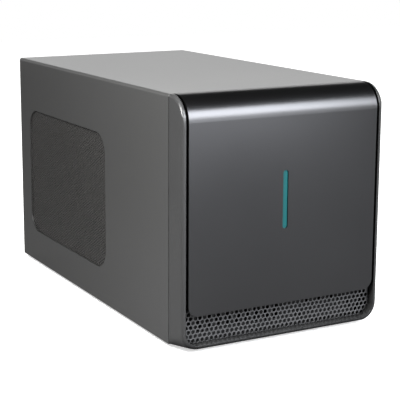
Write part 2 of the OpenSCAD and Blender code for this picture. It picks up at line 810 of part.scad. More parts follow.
// Whether a hole clears the sheet's edges and its round lower corners
function hex_fits(x, z) =
    abs(x) + hex_r + hex_web / 4 < x_grille &&
    (abs(x) < x_grille - grille_r || z > z_grille + grille_r ||
     norm([abs(x) - x_grille + grille_r, z - z_grille - grille_r]) + hex_r + hex_web / 4 < grille_r);

module front_grille() {
    rows = floor((backing_z - hex_z) / row_step);
    columns = ceil(x_grille / hex_pitch);
    color("#3c3c3e") along_y(y_grille, y_grille + grille_t) difference() {
        tub(x_grille, z_grille, z_grille_top, grille_r);
        for (j = [0 : rows], i = [-columns : columns]) {
            x = (i + 0.5 * (j % 2)) * hex_pitch;
            z = hex_z + j * row_step;
            if (hex_fits(x, z))
                translate([x, z]) rotate(90) circle(r = hex_r, $fn = 6);
        }
        for (share = stake_x_shares)
            translate([share * x_plate, z_stake]) circle(d = stake_d);
    }
}

module bezel_screws() {
    color("silver") for (p = bezel_boss_places)
        translate([p[0], y_bay, p[1]]) rotate([-90, 0, 0]) pan_screw(bezel_screw_d, bezel_d / 2);
}

// Main board

module main_board() {
    color("#164a33") translate([0, 0, z_board]) linear_extrude(board_t) difference() {
        polygon([
            [board_x1, board_y1], [board_knee_x, board_y1], [board_knee_x, board_knee_y],
            [board_x2, board_knee_y], [board_x2, board_y3], [board_step_x, board_y3],
            [board_step_x, board_y2], [board_x1, board_y2]
        ]);
        for (p = standoff_places)
            translate(p) circle(d = board_screw_d + 2 * hole_fit);
    }
}

module board_standoffs() {
    color("#b8a060") for (p = standoff_places)
        translate([p[0], p[1], z_floor]) difference() {
            cylinder(h = standoff_h, d = standoff_af / cos(30), $fn = 6);
            translate([0, 0, -over])
                cylinder(h = standoff_h + 2 * over, d = board_screw_d + 2 * thread_fit);
        }
}

module board_screws() {
    color("silver") for (p = standoff_places)
        translate([p[0], p[1], z_board_top]) pan_screw(board_screw_d, board_t + standoff_h);
}

module card_connector() {
    key_y_share = 0.13;
    bevel = groove_w / 4;
    color("#202022") difference() {
        union() {
            block([card_x - conn_w / 2, conn_y1, z_board_top],
                  [card_x + conn_w / 2, conn_y2, z_board_top + conn_h]);
            for (x = [card_x - conn_w / 2, card_x + conn_w / 2 - cheek_t])
                block([x, conn_y1 - cheek_l, z_board_top], [x + cheek_t, conn_y1, z_board_top + conn_h * 0.8]);
        }
        difference() {
            block([card_x - groove_w / 2, conn_y1 + cheek_t, z_board_top + conn_h - groove_d],
                  [card_x + groove_w / 2, conn_y2 - cheek_t, z_board_top + conn_h + over]);
            block([card_x - groove_w / 2, conn_y2 - conn_l * key_y_share, z_board_top],
                  [card_x + groove_w / 2, conn_y2 - conn_l * key_y_share + groove_w, z_board_top + conn_h - bevel]);
        }
        translate([card_x - conn_w / 2 - over, latch_y, latch_z]) rotate([0, 90, 0])
            cylinder(h = conn_w + 2 * over, d = latch_pin_d + 2 * latch_fit);
    }
}

module card_latch() {
    half = conn_w / 2 - cheek_t - 4 * latch_fit;
    knee_z = z_board_top + conn_h;
    tip_z = z_board_top + latch_h;
    color("#3070a8") {
        along_x(card_x - half, card_x + half) {
            translate([latch_y, latch_z]) circle(d = 2 * latch_pin_d);
            polygon([
                [latch_y - latch_pin_d, latch_z], [latch_y + latch_pin_d, latch_z],
                [latch_y + latch_pin_d, knee_z + latch_pin_d / 2],
                [conn_y1 + latch_pin_d, knee_z + latch_pin_d], [conn_y1 + latch_pin_d / 2, tip_z - latch_pin_d],
                [latch_y + latch_pin_d / 2, tip_z], [latch_y - cheek_l / 2, tip_z],
                [latch_y - cheek_l / 2, tip_z - latch_pin_d], [latch_y - latch_pin_d, tip_z - 2 * latch_pin_d]
            ]);
        }
        translate([card_x - conn_w / 2, latch_y, latch_z]) rotate([0, 90, 0])
            cylinder(h = conn_w, d = latch_pin_d);
    }
}

sink_x = card_x + sink_w / 2 + 3 * conn_w;
sink_y = (board_y1 + board_y2) / 2;

module controller_heatsink() {
    fin_step = (sink_w - sheet_t) / (sink_fins - 1);
    chip_h = 2 * sheet_t;
    translate([sink_x - sink_w / 2, sink_y - sink_w / 2, z_board_top]) {
        color("#202022") translate([sink_w / 4, sink_w / 4, 0]) cube([sink_w / 2, sink_w / 2, chip_h]);
        color("#8a8c90") translate([0, 0, chip_h]) {
            cube([sink_w, sink_w, chip_h]);
            for (i = [0 : sink_fins - 1])
                translate([i * fin_step, 0, 0]) cube([sheet_t, sink_w, sink_h - chip_h]);
        }
    }
}

header_w = 8.4;
header_h = 12.6;
header_cell = 4.2;

// A row of shrouded power sockets, opening upwards
module header_block(cells) {
    wall = header_cell / 5;
    difference() {
        cube([cells * header_cell, header_w, header_h]);
        for (i = [0 : cells - 1], j = [0, 1])
            translate([i * header_cell + wall / 2, j * header_w / 2 + wall / 2, header_h / 4])
                cube([header_cell - wall, header_w / 2 - wall, header_h]);
    }
}

module power_headers() {
    color("#1a1a1c") {
        translate([board_x2 - 4 * header_cell - standoff_af / 2, board_knee_y + 2 * standoff_af, z_board_top])
            for (i = [0, 1])
                translate([0, 2 * i * header_w, 0]) header_block(4 - i);
    }
}

cap_d = 8;
cap_h = 11.5;

module capacitors() {
    rim = cap_d / 16;
    color("#2c3a58") for (i = [0 : 4])
        translate([board_step_x + cap_d + i * 1.4 * cap_d, board_y2 - 2.5 * cap_d, z_board_top]) {
            cylinder(h = cap_h - rim, d = cap_d);
            translate([0, 0, cap_h - rim]) cylinder(h = rim, d1 = cap_d, d2 = cap_d - 2 * rim);
        }
}

module inductors() {
    core_w = 11;
    core_h = 6;
    color("#505254") for (i = [0 : 2])
        translate([sink_x - sink_w / 2 + 1.3 * i * core_w, sink_y + (sink_w + core_w) / 2, z_board_top])
            linear_extrude(core_h) round_rect([0, 0], [core_w, core_w], core_h / 4);
}

module data_port() {
    wall = port_h / 10;
    port_l = 2.3 * port_h;
    color("silver") difference() {
        along_y(y_panel - port_l, y_panel) level_slot(port_x, z_port, port_w, port_h);
        along_y(y_panel - port_l + 2 * wall, y_panel + over)
            level_slot(port_x, z_port, port_w - 2 * wall, port_h - 2 * wall);
    }
    color("#202022") along_y(y_panel - port_l + 2 * wall, y_panel - 2 * wall)
        translate([port_x - port_w * 0.36, z_port - wall]) square([port_w * 0.72, 2 * wall]);
}

// Case fan

module fan_bracket() {
    low_y = fan_y - fan_size / 2 - fan_margin;
    high_y = fan_y + fan_size / 2 + fan_margin;
    high_z = fan_z + fan_size / 2 + fan_margin;
    color("#4a4c50") difference() {
        union() {
            along_x(bracket_x, fan_x1) translate([low_y, z_floor]) square([high_y - low_y, high_z - z_floor]);
            block([bracket_x - seat_w, low_y, z_floor], [fan_x1, high_y, z_floor + sheet_t]);
            block([bracket_x - seat_w, low_y, high_z - sheet_t], [fan_x1, high_y, high_z]);
        }
        tray_rivets() cylinder(h = z_floor + sheet_t + over, d = rivet_d);
        translate([bracket_x - over, fan_y, fan_z]) rotate([0, 90, 0])
            cylinder(h = sheet_t + 2 * over, d = fan_duct_d, $fn = 96);
        fan_holes() cylinder(h = sheet_t + 2 * over, d = fan_screw_d + 2 * hole_fit);
    }
}

// The four screw holes of the case fan, each along X from just before the bracket
module fan_holes() {
    for (sy = [-1, 1], sz = [-1, 1])
        translate([bracket_x - over, fan_y + sy * fan_hole, fan_z + sz * fan_hole])
            rotate([0, 90, 0]) children();
}

// The frame of a fan along Z: a square frame, a round duct, and a hub on four struts
module fan_body(size, t, duct_d, hole_pitch, hole_d, hub_d, shaft_d) {
    flange = t * 0.16;
    corner = size / 16;
    hub_t = t * 0.14;
    difference() {
        union() {
            difference() {
                union() {
                    for (z = [0, t - flange])
                        translate([0, 0, z]) linear_extrude(flange)
                            round_rect([-size / 2, -size / 2], [size / 2, size / 2], corner);
                    cylinder(h = t, d = (duct_d + size) / 2, $fn = 96);
                    for (x = [-1, 1], y = [-1, 1])
                        translate([x * hole_pitch / 2, y * hole_pitch / 2, 0])
                            cylinder(h = t, d = 1.7 * hole_d);
                }
                translate([0, 0, -over]) cylinder(h = t + 2 * over, d = duct_d, $fn = 96);
            }
            cylinder(h = hub_t, d = hub_d);
            for (a = [0 : 90 : 270])
                rotate(a + 20) translate([hub_d / 2 - flange, -flange / 2, 0])
                    cube([(duct_d - hub_d) / 2 + 1.5 * flange, flange, hub_t]);
            cylinder(h = t * 0.6, d = 2.6 * shaft_d);
        }
        translate([0, 0, -over]) cylinder(h = t + 2 * over, d = shaft_d + 2 * bearing_fit);
        for (x = [-1, 1], y = [-1, 1])
            translate([x * hole_pitch / 2, y * hole_pitch / 2, -over])
                cylinder(h = t + 2 * over, d = hole_d);
    }
}

// The rotor of a fan along Z: a cup on a boss, with twisted blades that curve forward
module fan_wheel(t, duct_d, hub_d, shaft_d, blades, twist) {
    tip_r = duct_d / 2 - fan_tip_gap;
    hub_r = hub_d / 2;
    wall = hub_d / 24;
    low = t * 0.2;
    high = t * 0.93;
    blade_t = t * 0.055;
    sweep = 22;
    steps = 3;
    difference() {
        union() {
            translate([0, 0, low]) cylinder(h = high - low, r = hub_r);
            for (i = [0 : blades - 1])
                rotate(360 * i / blades) translate([0, 0, low + wall])
                    linear_extrude(high - low - 2 * wall, twist = twist, slices = 6, segments = 8)
                        blade_outline(hub_r - wall / 2, tip_r, blade_t, sweep, steps);
        }
        translate([0, 0, low - over]) difference() {
            cylinder(h = high - low - wall + over, r = hub_r - wall);
            cylinder(h = high - low - wall + over, d = 2 * shaft_d);
        }
        translate([0, 0, low - over]) cylinder(h = t * 0.62 - low + over + wall, d = 3 * shaft_d);
        translate([0, 0, low - over]) cylinder(h = high - low - wall + over, d = shaft_d);
    }
}

// A swept blade seen along the fan's axis
module blade_outline(r1, r2, t, sweep, steps) {
    edge = [for (i = [0 : steps])
        let (r = r1 + (r2 - r1) * i / steps, a = sweep * pow(i / steps, 2)) [r * cos(a), r * sin(a)]];
    polygon(concat(edge, [for (i = [steps : -1 : 0]) edge[i] + [0, t]]));
}

// The shaft of a fan along Z, from the back of the hub to the front of the rotor
module fan_pin(t, hub_d, shaft_d) {
    translate([0, 0, t * 0.03]) cylinder(h = t * 0.9 - hub_d / 24, d = shaft_d);
}

// A wire guard along Z: rings joined by four spokes that end in screw eyes
module wire_guard(rings, outer_r, hole_r, screw_d) {
    for (i = [1 : rings])
        rotate_extrude($fn = 64) translate([outer_r * i / rings, 0]) circle(d = wire_d, $fn = 16);
    for (a = [45 : 90 : 315]) rotate(a) {
        translate([outer_r / rings, 0, wire_d * 0.6]) rotate([0, 90, 0])
            cylinder(h = hole_r - screw_d - outer_r / rings, d = wire_d, $fn = 16);
        translate([hole_r, 0, wire_d * 0.6]) rotate_extrude($fn = 24) translate([screw_d, 0])
            circle(d = wire_d, $fn = 16);
    }
}

// Places a fan that is drawn along Z on the case's bracket, blowing towards the cards
module on_fan_axis() {
    translate([fan_x2, fan_y, fan_z]) rotate([0, -90, 0]) children();
}

module fan_frame() {
    color("#202022") on_fan_axis()
        fan_body(fan_size, fan_t, fan_duct_d, fan_hole_pitch, fan_screw_d + 2 * thread_fit,
                 fan_hub_d, fan_shaft_d);
}

module fan_rotor() {
    color("#2c2c30") on_fan_axis()
        fan_wheel(fan_t, fan_duct_d, fan_hub_d, fan_shaft_d, fan_blades, fan_twist);
}

module fan_shaft() {
    color("silver") on_fan_axis() fan_pin(fan_t, fan_hub_d, fan_shaft_d);
}

module fan_guard() {
    color("silver") translate([bracket_x - 1.1 * wire_d, fan_y, fan_z]) rotate([0, -90, 0])
        mirror([0, 0, 1])
            wire_guard(5, fan_duct_d / 2 - wire_d, fan_hole * sqrt(2), fan_screw_d);
}

module fan_screws() {
    color("silver") for (sy = [-1, 1], sz = [-1, 1])
        translate([bracket_x - 2.2 * wire_d, fan_y + sy * fan_hole, fan_z + sz * fan_hole])
            rotate([0, -90, 0]) pan_screw(fan_screw_d, fan_t / 2);
}

// Power supply

psu_screw_places = [
    for (x = [psu_x1 + psu_screw_inset, psu_x2 - psu_screw_inset],
         z = [psu_z1 + psu_screw_inset, psu_z2 - psu_screw_inset]) [x, z]
];
psu_hub_d = psu_fan_size * 0.36;
psu_shaft_d = fan_shaft_d * 0.8;
psu_hole_pitch = psu_duct_d * 0.94;
psu_eye_d = 3;

module psu_case() {
    inner_y = psu_y2 - psu_t;
    color("#2a2a2c") difference() {
        block([psu_x1, psu_y1, psu_z1], [psu_x2, psu_y2, psu_z2]);
        block([psu_x1 + psu_t, psu_y1 + psu_t, psu_z1 + psu_t], [psu_x2 - psu_t, inner_y, psu_z2 - psu_t]);
        translate([psu_x1 - over, psu_mid_y, psu_mid_z]) rotate([0, 90, 0])
            cylinder(h = psu_t + 2 * over, d = psu_duct_d, $fn = 96);
        along_y(psu_y1 - over, psu_y1 + psu_t + over) {
            hole_field([psu_x1 + psu_frame, psu_z1 + psu_frame],
                       [psu_x2 - psu_frame, psu_z2 - psu_frame], rear_pitch, rear_hole_d);
            for (p = psu_screw_places)
                translate(p) circle(d = psu_screw_d + 2 * thread_fit);
        }
    }
}

module on_psu_axis() {
    translate([psu_x1 + psu_t + psu_fan_t, psu_mid_y, psu_mid_z]) rotate([0, -90, 0]) children();
}

module psu_fan_frame() {
    color("#202022") on_psu_axis()
        fan_body(psu_fan_size, psu_fan_t, psu_duct_d, psu_hole_pitch, psu_eye_d, psu_hub_d, psu_shaft_d);
}

module psu_fan_rotor() {
    color("#2c2c30") on_psu_axis()
        fan_wheel(psu_fan_t, psu_duct_d, psu_hub_d, psu_shaft_d, psu_fan_blades,
                  psu_fan_twist);
}

module psu_fan_shaft() {
    color("silver") on_psu_axis() fan_pin(psu_fan_t, psu_hub_d, psu_shaft_d);
}

module psu_fan_guard() {
    color("silver") translate([psu_x1 - 1.1 * wire_d, psu_mid_y, psu_mid_z]) rotate([0, -90, 0])
        mirror([0, 0, 1])
            wire_guard(4, psu_duct_d / 2 - wire_d, psu_hole_pitch / sqrt(2), psu_eye_d);
}

module psu_outlets() {
    color("#1a1a1c") for (i = [0 : 2])
        translate([psu_x1 + psu_t + header_w, psu_y2, psu_z1 + psu_frame + i * 2.6 * header_w])
            translate([0, 0, header_w]) rotate([-90, 0, 0]) header_block(6);
}

module psu_screws() {
    color("silver") for (p = psu_screw_places)
        translate([p[0], y_bulk, p[1]]) rotate([90, 0, 0]) pan_screw(psu_screw_d, 2 * sheet_t + psu_t);
}

// Mains inlet

module mains_inlet() {
    color("#1a1a1c") difference() {
        union() {
            along_y(y_panel, y_panel + inlet_flange_t)
                level_slot(inlet_x, inlet_z, inlet_flange_w, inlet_flange_h);
            along_y(y_panel - inlet_body_l, y_panel) translate([inlet_x, inlet_z])
                inlet_outline(inlet_body_w, inlet_body_h, inlet_cut_share * inlet_body_h);
        }
        along_y(y_panel + inlet_flange_t - inlet_socket_d, y_panel + inlet_flange_t + over)
            translate([inlet_x, inlet_z])
                inlet_outline(inlet_socket_w, inlet_socket_h, inlet_cut_share * inlet_socket_h);
        along_y(y_panel - inlet_body_l - over, y_panel)
            for (p = inlet_pin_places)
                translate(p - inlet_pin_size / 2) square(inlet_pin_size);
        for (s = [-1, 1])
            along_y(y_panel - over, y_panel + inlet_flange_t + over)
                translate([inlet_x + s * inlet_pitch / 2, inlet_z])
                    circle(d = inlet_screw_d + 2 * hole_fit);
    }
}
inlet_pin_places = [
    [inlet_x - 7 / 24 * inlet_socket_w, inlet_z - inlet_socket_h / 8],
    [inlet_x + 7 / 24 * inlet_socket_w, inlet_z - inlet_socket_h / 8],
    [inlet_x, inlet_z + inlet_socket_h / 8]
];

module inlet_pins() {
    tail = inlet_pin_size[1];
    color("silver") along_y(y_panel - inlet_body_l - tail, y_panel - inlet_pin_size[0])
        for (p = inlet_pin_places)
            translate(p - inlet_pin_size / 2) square(inlet_pin_size);
}

module inlet_screws() {
    color("silver") for (s = [-1, 1])
        translate([inlet_x + s * inlet_pitch / 2, y_panel + inlet_flange_t, inlet_z])
            rotate([-90, 0, 0]) pan_screw(inlet_screw_d, inlet_flange_t + 3 * sheet_t);
}

// Blank covers of the two card slots

module slot_cover(i) {
    tongue_share = 0.55;
    foot_len = bracket_w / 3;
    half = bracket_w / 2;
    x = slot_x[i];
    y_tab = y_slot + tab_l - slot_fit;
    color("#9a9ca0") {
        along_y(y_bracket - bracket_t, y_bracket) translate([x, z_ledge]) polygon([
            [-half, 0], [-half, foot_len - bracket_len],
            [-half * tongue_share, foot_len * 0.7 - bracket_len], [-half * tongue_share, -bracket_len],
            [half * tongue_share, -bracket_len], [half * tongue_share, foot_len * 0.7 - bracket_len],
            [half, foot_len - bracket_len], [half, 0]
        ]);
        difference() {
            block([x - half, y_bracket - bracket_t, z_ledge], [x + half, y_tab, z_ledge + bracket_t]);
            translate([x + bracket_screw_x, y_ledge_screw, z_ledge - over])
                cylinder(h = bracket_t + 2 * over, d = bracket_screw_d + 4 * hole_fit);
            block([x + bracket_screw_x, y_ledge_screw - bracket_screw_d / 2 - 2 * hole_fit, z_ledge - over],
                  [x + half + over, y_ledge_screw + bracket_screw_d / 2 + 2 * hole_fit, z_ledge + bracket_t + over]);
        }
    }
}
module slot_cover_1() {
    slot_cover(0);
}
module slot_cover_2() {
    slot_cover(1);
}

module slot_screw(i) {
    color("silver") translate([slot_x[i] + bracket_screw_x, y_ledge_screw, z_ledge + bracket_t])
        pan_screw(bracket_screw_d, bracket_t + 4 * sheet_t);
}
module slot_screw_1() {
    slot_screw(0);
}
module slot_screw_2() {
    slot_screw(1);
}

// Cover

module vent_window() {
    round_rect([y_front + vent_y, vent_z], [y_front + vent_y + vent_len, vent_z + vent_h], vent_r);
}

module cover() {
    color("#565553") difference() {
        union() {
            along_y(y_seam, y_back) difference() {
                arch(x_side, z_base, case_h, cover_edge_r);
                arch(x_inner, z_base - over, z_roof, cover_edge_r - cover_t);
            }
            along_y(y_back - cover_t, y_back) difference() {
                arch(x_side, z_base, case_h, cover_edge_r);
                translate([lip_w - x_side, z_base - over])
                    square([2 * (x_side - lip_w), case_h - z_base - lip_w + over]);
            }
        }
        along_x(-x_side - over, x_side + over) vent_window();
        along_y(y_back - cover_t - over, y_back + over)
            for (p = knob_places)
                translate(p) circle(d = knob_shank_d + 2 * hole_fit);
    }
}

module vent_sheet() {
    low = [y_front + vent_y - vent_lap, vent_z - vent_lap];
    high = low + [vent_len + 2 * vent_lap, vent_h + 2 * vent_lap];
    rim = vent_lap / 3;
    color("#3c3c3c") along_x(x_inner - vent_sheet_t, x_inner) difference() {
        round_rect(low, high, vent_r);
        intersection() {
            hole_field(low + [rim, rim], high - [rim, rim], vent_pitch, vent_hole_d);
            round_rect(low + [rim, rim], high - [rim, rim], vent_r - rim);
        }
    }
}
module vent_sheet_left() {
    mirror([1, 0, 0]) vent_sheet();
}
module vent_sheet_right() {
    vent_sheet();
}

module thumbscrew(i) {
    grooves = 18;
    seat = thread_fit;
    cut_r = knob_d / 16;
    shank_l = cover_t + slide_gap + sheet_t + nut_h + seat;
    collar = cover_t / 3;
    color("#1e1e20") translate([knob_places[i][0], y_back, knob_places[i][1]]) rotate([-90, 0, 0]) {
        difference() {
            union() {
                translate([0, 0, seat]) cylinder(h = knob_proud - seat - collar, d = knob_d);
                translate([0, 0, knob_proud - collar])
                    cylinder(h = collar, d1 = knob_d, d2 = knob_d - 2 * collar);
            }
            for (a = [0 : grooves - 1])
                rotate(360 * a / grooves) translate([knob_d / 2 + cut_r / 2, 0, knob_proud / 4])
                    cylinder(h = knob_proud, r = cut_r, $fn = 16);
            translate([0, -cut_r, knob_proud - 2 * collar])
                translate([-knob_d, 0, 0]) cube([2 * knob_d, 2 * cut_r, 2 * collar + over]);
        }
        translate([0, 0, seat - shank_l]) cylinder(h = shank_l, d = knob_shank_d);
    }
}
module thumbscrew_1() {
    thumbscrew(0);
}
module thumbscrew_2() {
    thumbscrew(1);
}
module thumbscrew_3() {
    thumbscrew(2);
}
module thumbscrew_4() {
    thumbscrew(3);
}

base_tray();
front_bulkhead();
rear_panel();
panel_nuts();
chassis_rivets();
foot_front_left();
foot_front_right();
foot_rear_left();
foot_rear_right();
front_bezel();
front_plate();
light_guide();
led_board();
front_grille();
bezel_screws();
main_board();
board_standoffs();
board_screws();
card_connector();
card_latch();
controller_heatsink();
power_headers();
capacitors();
inductors();
data_port();
fan_bracket();
fan_frame();
fan_rotor();
fan_shaft();
fan_guard();
fan_screws();
psu_case();
psu_fan_frame();
psu_fan_rotor();
psu_fan_shaft();
psu_fan_guard();
psu_outlets();
psu_screws();
mains_inlet();
inlet_pins();
inlet_screws();
slot_cover_1();
slot_cover_2();
slot_screw_1();
slot_screw_2();
cover();
vent_sheet_left();
vent_sheet_right();
thumbscrew_1();
thumbscrew_2();
thumbscrew_3();
thumbscrew_4();
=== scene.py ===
"""Blender scene of a desktop expansion chassis: its finishes, fine parts, studio and camera.

All sizes are in millimetres until a mesh is made, and the origin and axes are those of the
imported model: +X to the right, +Y to the rear panel, +Z up.
"""

from __future__ import annotations

import itertools
import logging
import math
import random
from dataclasses import dataclass
from enum import Enum
from typing import Any, Iterable, Sequence

import bmesh
import bpy
from mathutils import Euler, Matrix, Vector

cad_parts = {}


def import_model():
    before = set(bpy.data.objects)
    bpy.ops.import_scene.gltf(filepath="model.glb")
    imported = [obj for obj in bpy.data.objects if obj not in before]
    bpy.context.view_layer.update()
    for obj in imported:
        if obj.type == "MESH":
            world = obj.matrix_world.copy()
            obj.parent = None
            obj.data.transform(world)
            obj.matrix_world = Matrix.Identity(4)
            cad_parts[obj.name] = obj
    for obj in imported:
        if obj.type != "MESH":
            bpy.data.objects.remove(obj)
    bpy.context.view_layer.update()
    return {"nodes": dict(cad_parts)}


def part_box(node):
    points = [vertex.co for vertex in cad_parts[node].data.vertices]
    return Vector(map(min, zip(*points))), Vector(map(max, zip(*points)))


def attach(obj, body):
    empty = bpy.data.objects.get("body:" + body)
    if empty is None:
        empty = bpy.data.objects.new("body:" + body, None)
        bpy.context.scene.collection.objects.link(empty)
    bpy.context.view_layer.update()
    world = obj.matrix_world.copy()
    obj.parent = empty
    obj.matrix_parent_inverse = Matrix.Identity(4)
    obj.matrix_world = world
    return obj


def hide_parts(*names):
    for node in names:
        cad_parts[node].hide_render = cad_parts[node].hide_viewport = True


LOG = logging.getLogger("expansion_chassis")
MM = 0.001
Point = tuple[float, float, float]
Band = tuple[float, float, float, float]
BLOCK_FACES = (
    (0, 1, 3, 2), (4, 6, 7, 5), (0, 4, 5, 1), (2, 3, 7, 6), (0, 2, 6, 4), (1, 5, 7, 3),
)


def linear(code: str) -> tuple[float, float, float, float]:
    """Turns an sRGB hex colour into the linear colour that a socket takes.

    Args:
        code: The colour as "#rrggbb".

    Returns:
        Red, green and blue, linear, and an alpha of 1.
    """
    parts = [int(code[i : i + 2], 16) / 255 for i in (1, 3, 5)]
    red, green, blue = (
        c / 12.92 if c <= 0.04045 else ((c + 0.055) / 1.055) ** 2.4 for c in parts
    )
    return red, green, blue, 1.0


# Settings that many nodes share.
COLOURS = {"data_type": "RGBA"}
NUMBERS = {"data_type": "FLOAT"}
MULTIPLY = {"operation": "MULTIPLY"}


def add_node(
    tree: bpy.types.NodeTree,
    kind: str,
    settings: dict[str, Any] | None = None,
    inputs: dict[str | int, Any] | None = None,
) -> bpy.types.Node:
    """Adds a node with its settings, and links or fills its inputs.

    Args:
        tree: The tree that gets the node.
        kind: The node's Blender type.
        settings: Values of the node's own properties.
        inputs: For an input's name or number, a socket to link or a value.

    Returns:
        The new node.
    """
    node = tree.nodes.new(kind)
    for name, value in (settings or {}).items():
        setattr(node, name, value)
    for name, value in (inputs or {}).items():
        if isinstance(value, bpy.types.NodeSocket):
            tree.links.new(value, node.inputs[name])
        else:
            node.inputs[name].default_value = value
    return node


class Grain(Enum):
    """How a surface was made, which sets the pattern of its colour and relief."""

    ORANGE_PEEL = "sprayed powder, melted into shallow dimples"
    BLASTED = "blasted with fine beads"
    BRUSHED = "brushed or ground along one axis"
    SPARK = "moulded in a spark-eroded tool"
    CAST = "moulded or cast with a dull skin"
    PLATED = "drawn, then plated"
    TRACKS = "laminate with tracks under a lacquer"


# Octaves of noise that each grain is drawn with.
OCTAVES = {
    Grain.ORANGE_PEEL: 2.0,
    Grain.BLASTED: 4.0,
    Grain.BRUSHED: 6.0,
    Grain.SPARK: 5.0,
    Grain.CAST: 3.0,
    Grain.PLATED: 2.0,
}
# The grain's part in the mix of two colours, and the values where the mix starts and ends.
GRAIN_SHARE, MIX_FROM, MIX_TO = 0.6, 0.55, 1.05
# The mix's slow drift over a large face is so much coarser than the grain.
DRIFT = 400
# How well the rounded normal agrees with the flat one off an edge and right on it.
OFF_EDGE, ON_EDGE = 0.999, 0.92
# For painted shade: what a deep recess and an open face see of their surroundings, and their sheen.
DEEP, OPEN = 0.5, 0.92
SHADED_SHEEN, SHEEN = 0.08, 0.5


@dataclass(frozen=True)
class Finish:
    """One finish, named for what the real surface is.

    The grain is given by its real size, and the relief by its depth. The edge tint covers
    edge_mm on both sides of an edge; a darker one is painted shade, a lighter one is wear.
    Whatever lies deep in a recess, down to the given depth, gets painted shade.
    """

    name: str
    base: str
    second: str
    roughness: float
    grain: Grain
    grain_mm: float
    relief_mm: float
    metallic: float = 0.0
    ior: float = 1.5
    coat: float = 0.0
    spread: float = 0.05
    edge_wear_and_shade: str | None = None
    edge_mm: float = 0.35
    shade_reach_mm: float = 0.0
    painted_shade_tint: str = "#060606"
    along: Point = (1.0, 1.0, 1.0)

    def make(self) -> bpy.types.Material:
        """Builds the material.

        Returns:
            The material, with its colour, roughness and relief from its grain.
        """
        material = bpy.data.materials.new(self.name)
        material.use_nodes = True
        tree = material.node_tree
        tree.nodes.clear()
        place = add_node(tree, "ShaderNodeTexCoord").outputs["Object"]
        tint, height = self.pattern(tree, place)
        colour = add_node(
            tree, "ShaderNodeMix", COLOURS, {0: tint, 6: linear(self.base), 7: linear(self.second)}
        ).outputs[2]
        rough = add_node(
            tree,
            "ShaderNodeMapRange",
            None,
            {0: tint, 3: self.roughness - self.spread, 4: self.roughness + self.spread},
        ).outputs[0]
        normal = None
        if self.edge_wear_and_shade:
            # The rounded normal differs from the flat one only along an edge.
            rounded = add_node(
                tree, "ShaderNodeBevel", {"samples": 4}, {"Radius": self.edge_mm * MM}
            ).outputs[0]
            flat = add_node(tree, "ShaderNodeNewGeometry").outputs["Normal"]
            facing = add_node(
                tree, "ShaderNodeVectorMath", {"operation": "DOT_PRODUCT"}, {0: rounded, 1: flat}
            ).outputs["Value"]
            edge = add_node(
                tree, "ShaderNodeMapRange", None, {0: facing, 1: OFF_EDGE, 2: ON_EDGE}
            ).outputs[0]
            # Tint the edges: a darker tint is painted shade, a lighter one is wear.
            colour = add_node(
                tree, "ShaderNodeMix", COLOURS, {0: edge, 6: colour, 7: linear(self.edge_wear_and_shade)}
            ).outputs[2]
            normal = rounded
        gloss: float | bpy.types.NodeSocket = SHEEN
        if self.shade_reach_mm:
            # Painted shade: a deep recess gets a darker colour and a dimmer sheen than the open
            # faces.
            open_sky = add_node(
                tree,
                "ShaderNodeAmbientOcclusion",
                {"samples": 6},
                {"Distance": self.shade_reach_mm * MM},
            ).outputs["AO"]
            open_sky = add_node(
                tree, "ShaderNodeMapRange", None, {0: open_sky, 1: DEEP, 2: OPEN}
            ).outputs[0]
            colour = add_node(
                tree,
                "ShaderNodeMix",
                COLOURS,
                {0: open_sky, 6: linear(self.painted_shade_tint), 7: colour},
            ).outputs[2]
            gloss = add_node(
                tree, "ShaderNodeMapRange", None, {0: open_sky, 3: SHADED_SHEEN, 4: SHEEN}
            ).outputs[0]
        bump_inputs: dict[str | int, Any] = {
            "Strength": 1.0,
            "Distance": self.relief_mm * MM,
            "Height": height,
        }
        if normal is not None:
            bump_inputs["Normal"] = normal
        bump = add_node(tree, "ShaderNodeBump", None, bump_inputs).outputs[0]
        shader_inputs: dict[str | int, Any] = {
            "Base Color": colour,
            "Roughness": rough,
            "Metallic": self.metallic,
            "Normal": bump,
            "Specular IOR Level": gloss,
            "Coat Weight": self.coat,
            "Coat Roughness": 0.1,
        }
        if self.metallic < 1:
            shader_inputs["IOR"] = self.ior
        shader = add_node(tree, "ShaderNodeBsdfPrincipled", None, shader_inputs)
        add_node(tree, "ShaderNodeOutputMaterial", None, {"Surface": shader.outputs[0]})
        return material

    def pattern(
        self, tree: bpy.types.NodeTree, place: bpy.types.NodeSocket
    ) -> tuple[bpy.types.NodeSocket, bpy.types.NodeSocket]:
        """Adds the grain's textures.

        Args:
            tree: The material's tree.
            place: Where on the object a point lies, in metres.

        Returns:
            The socket that mixes the two colours, and the socket for the height.
        """
        scale = 1 / (self.grain_mm * MM)
        if self.grain is Grain.BRUSHED:
            place = add_node(
                tree, "ShaderNodeVectorMath", MULTIPLY, {0: place, 1: self.along}
            ).outputs[0]
        if self.grain is Grain.TRACKS:
            lines = add_node(
                tree,
                "ShaderNodeTexBrick",
                {"offset": 0.5, "squash_frequency": 3},
                {
                    "Vector": place,
                    "Scale": scale,
                    "Color1": (0, 0, 0, 1),
                    "Color2": (0.25, 0.25, 0.25, 1),
                    "Mortar": (1, 1, 1, 1),
                    "Mortar Size": 0.05,
                    "Brick Width": 1.9,
                    "Row Height": 0.35,
                },
            ).outputs[0]
            return lines, lines
        fine = add_node(
            tree,
            "ShaderNodeTexNoise",
            None,
            {"Vector": place, "Scale": scale, "Detail": OCTAVES[self.grain], "Roughness": 0.6},
        ).outputs[0]
        broad = add_node(
            tree,
            "ShaderNodeTexNoise",
            None,
            {"Vector": place, "Scale": scale / DRIFT, "Detail": 2.0},
        ).outputs[0]
        tint = add_node(
            tree,
            "ShaderNodeMath",
            {"operation": "MULTIPLY_ADD"},
            {0: fine, 1: GRAIN_SHARE, 2: broad},
        ).outputs[0]
        tint = add_node(
            tree, "ShaderNodeMapRange", None, {0: tint, 1: MIX_FROM, 2: MIX_TO}
        ).outputs[0]
        return tint, fine


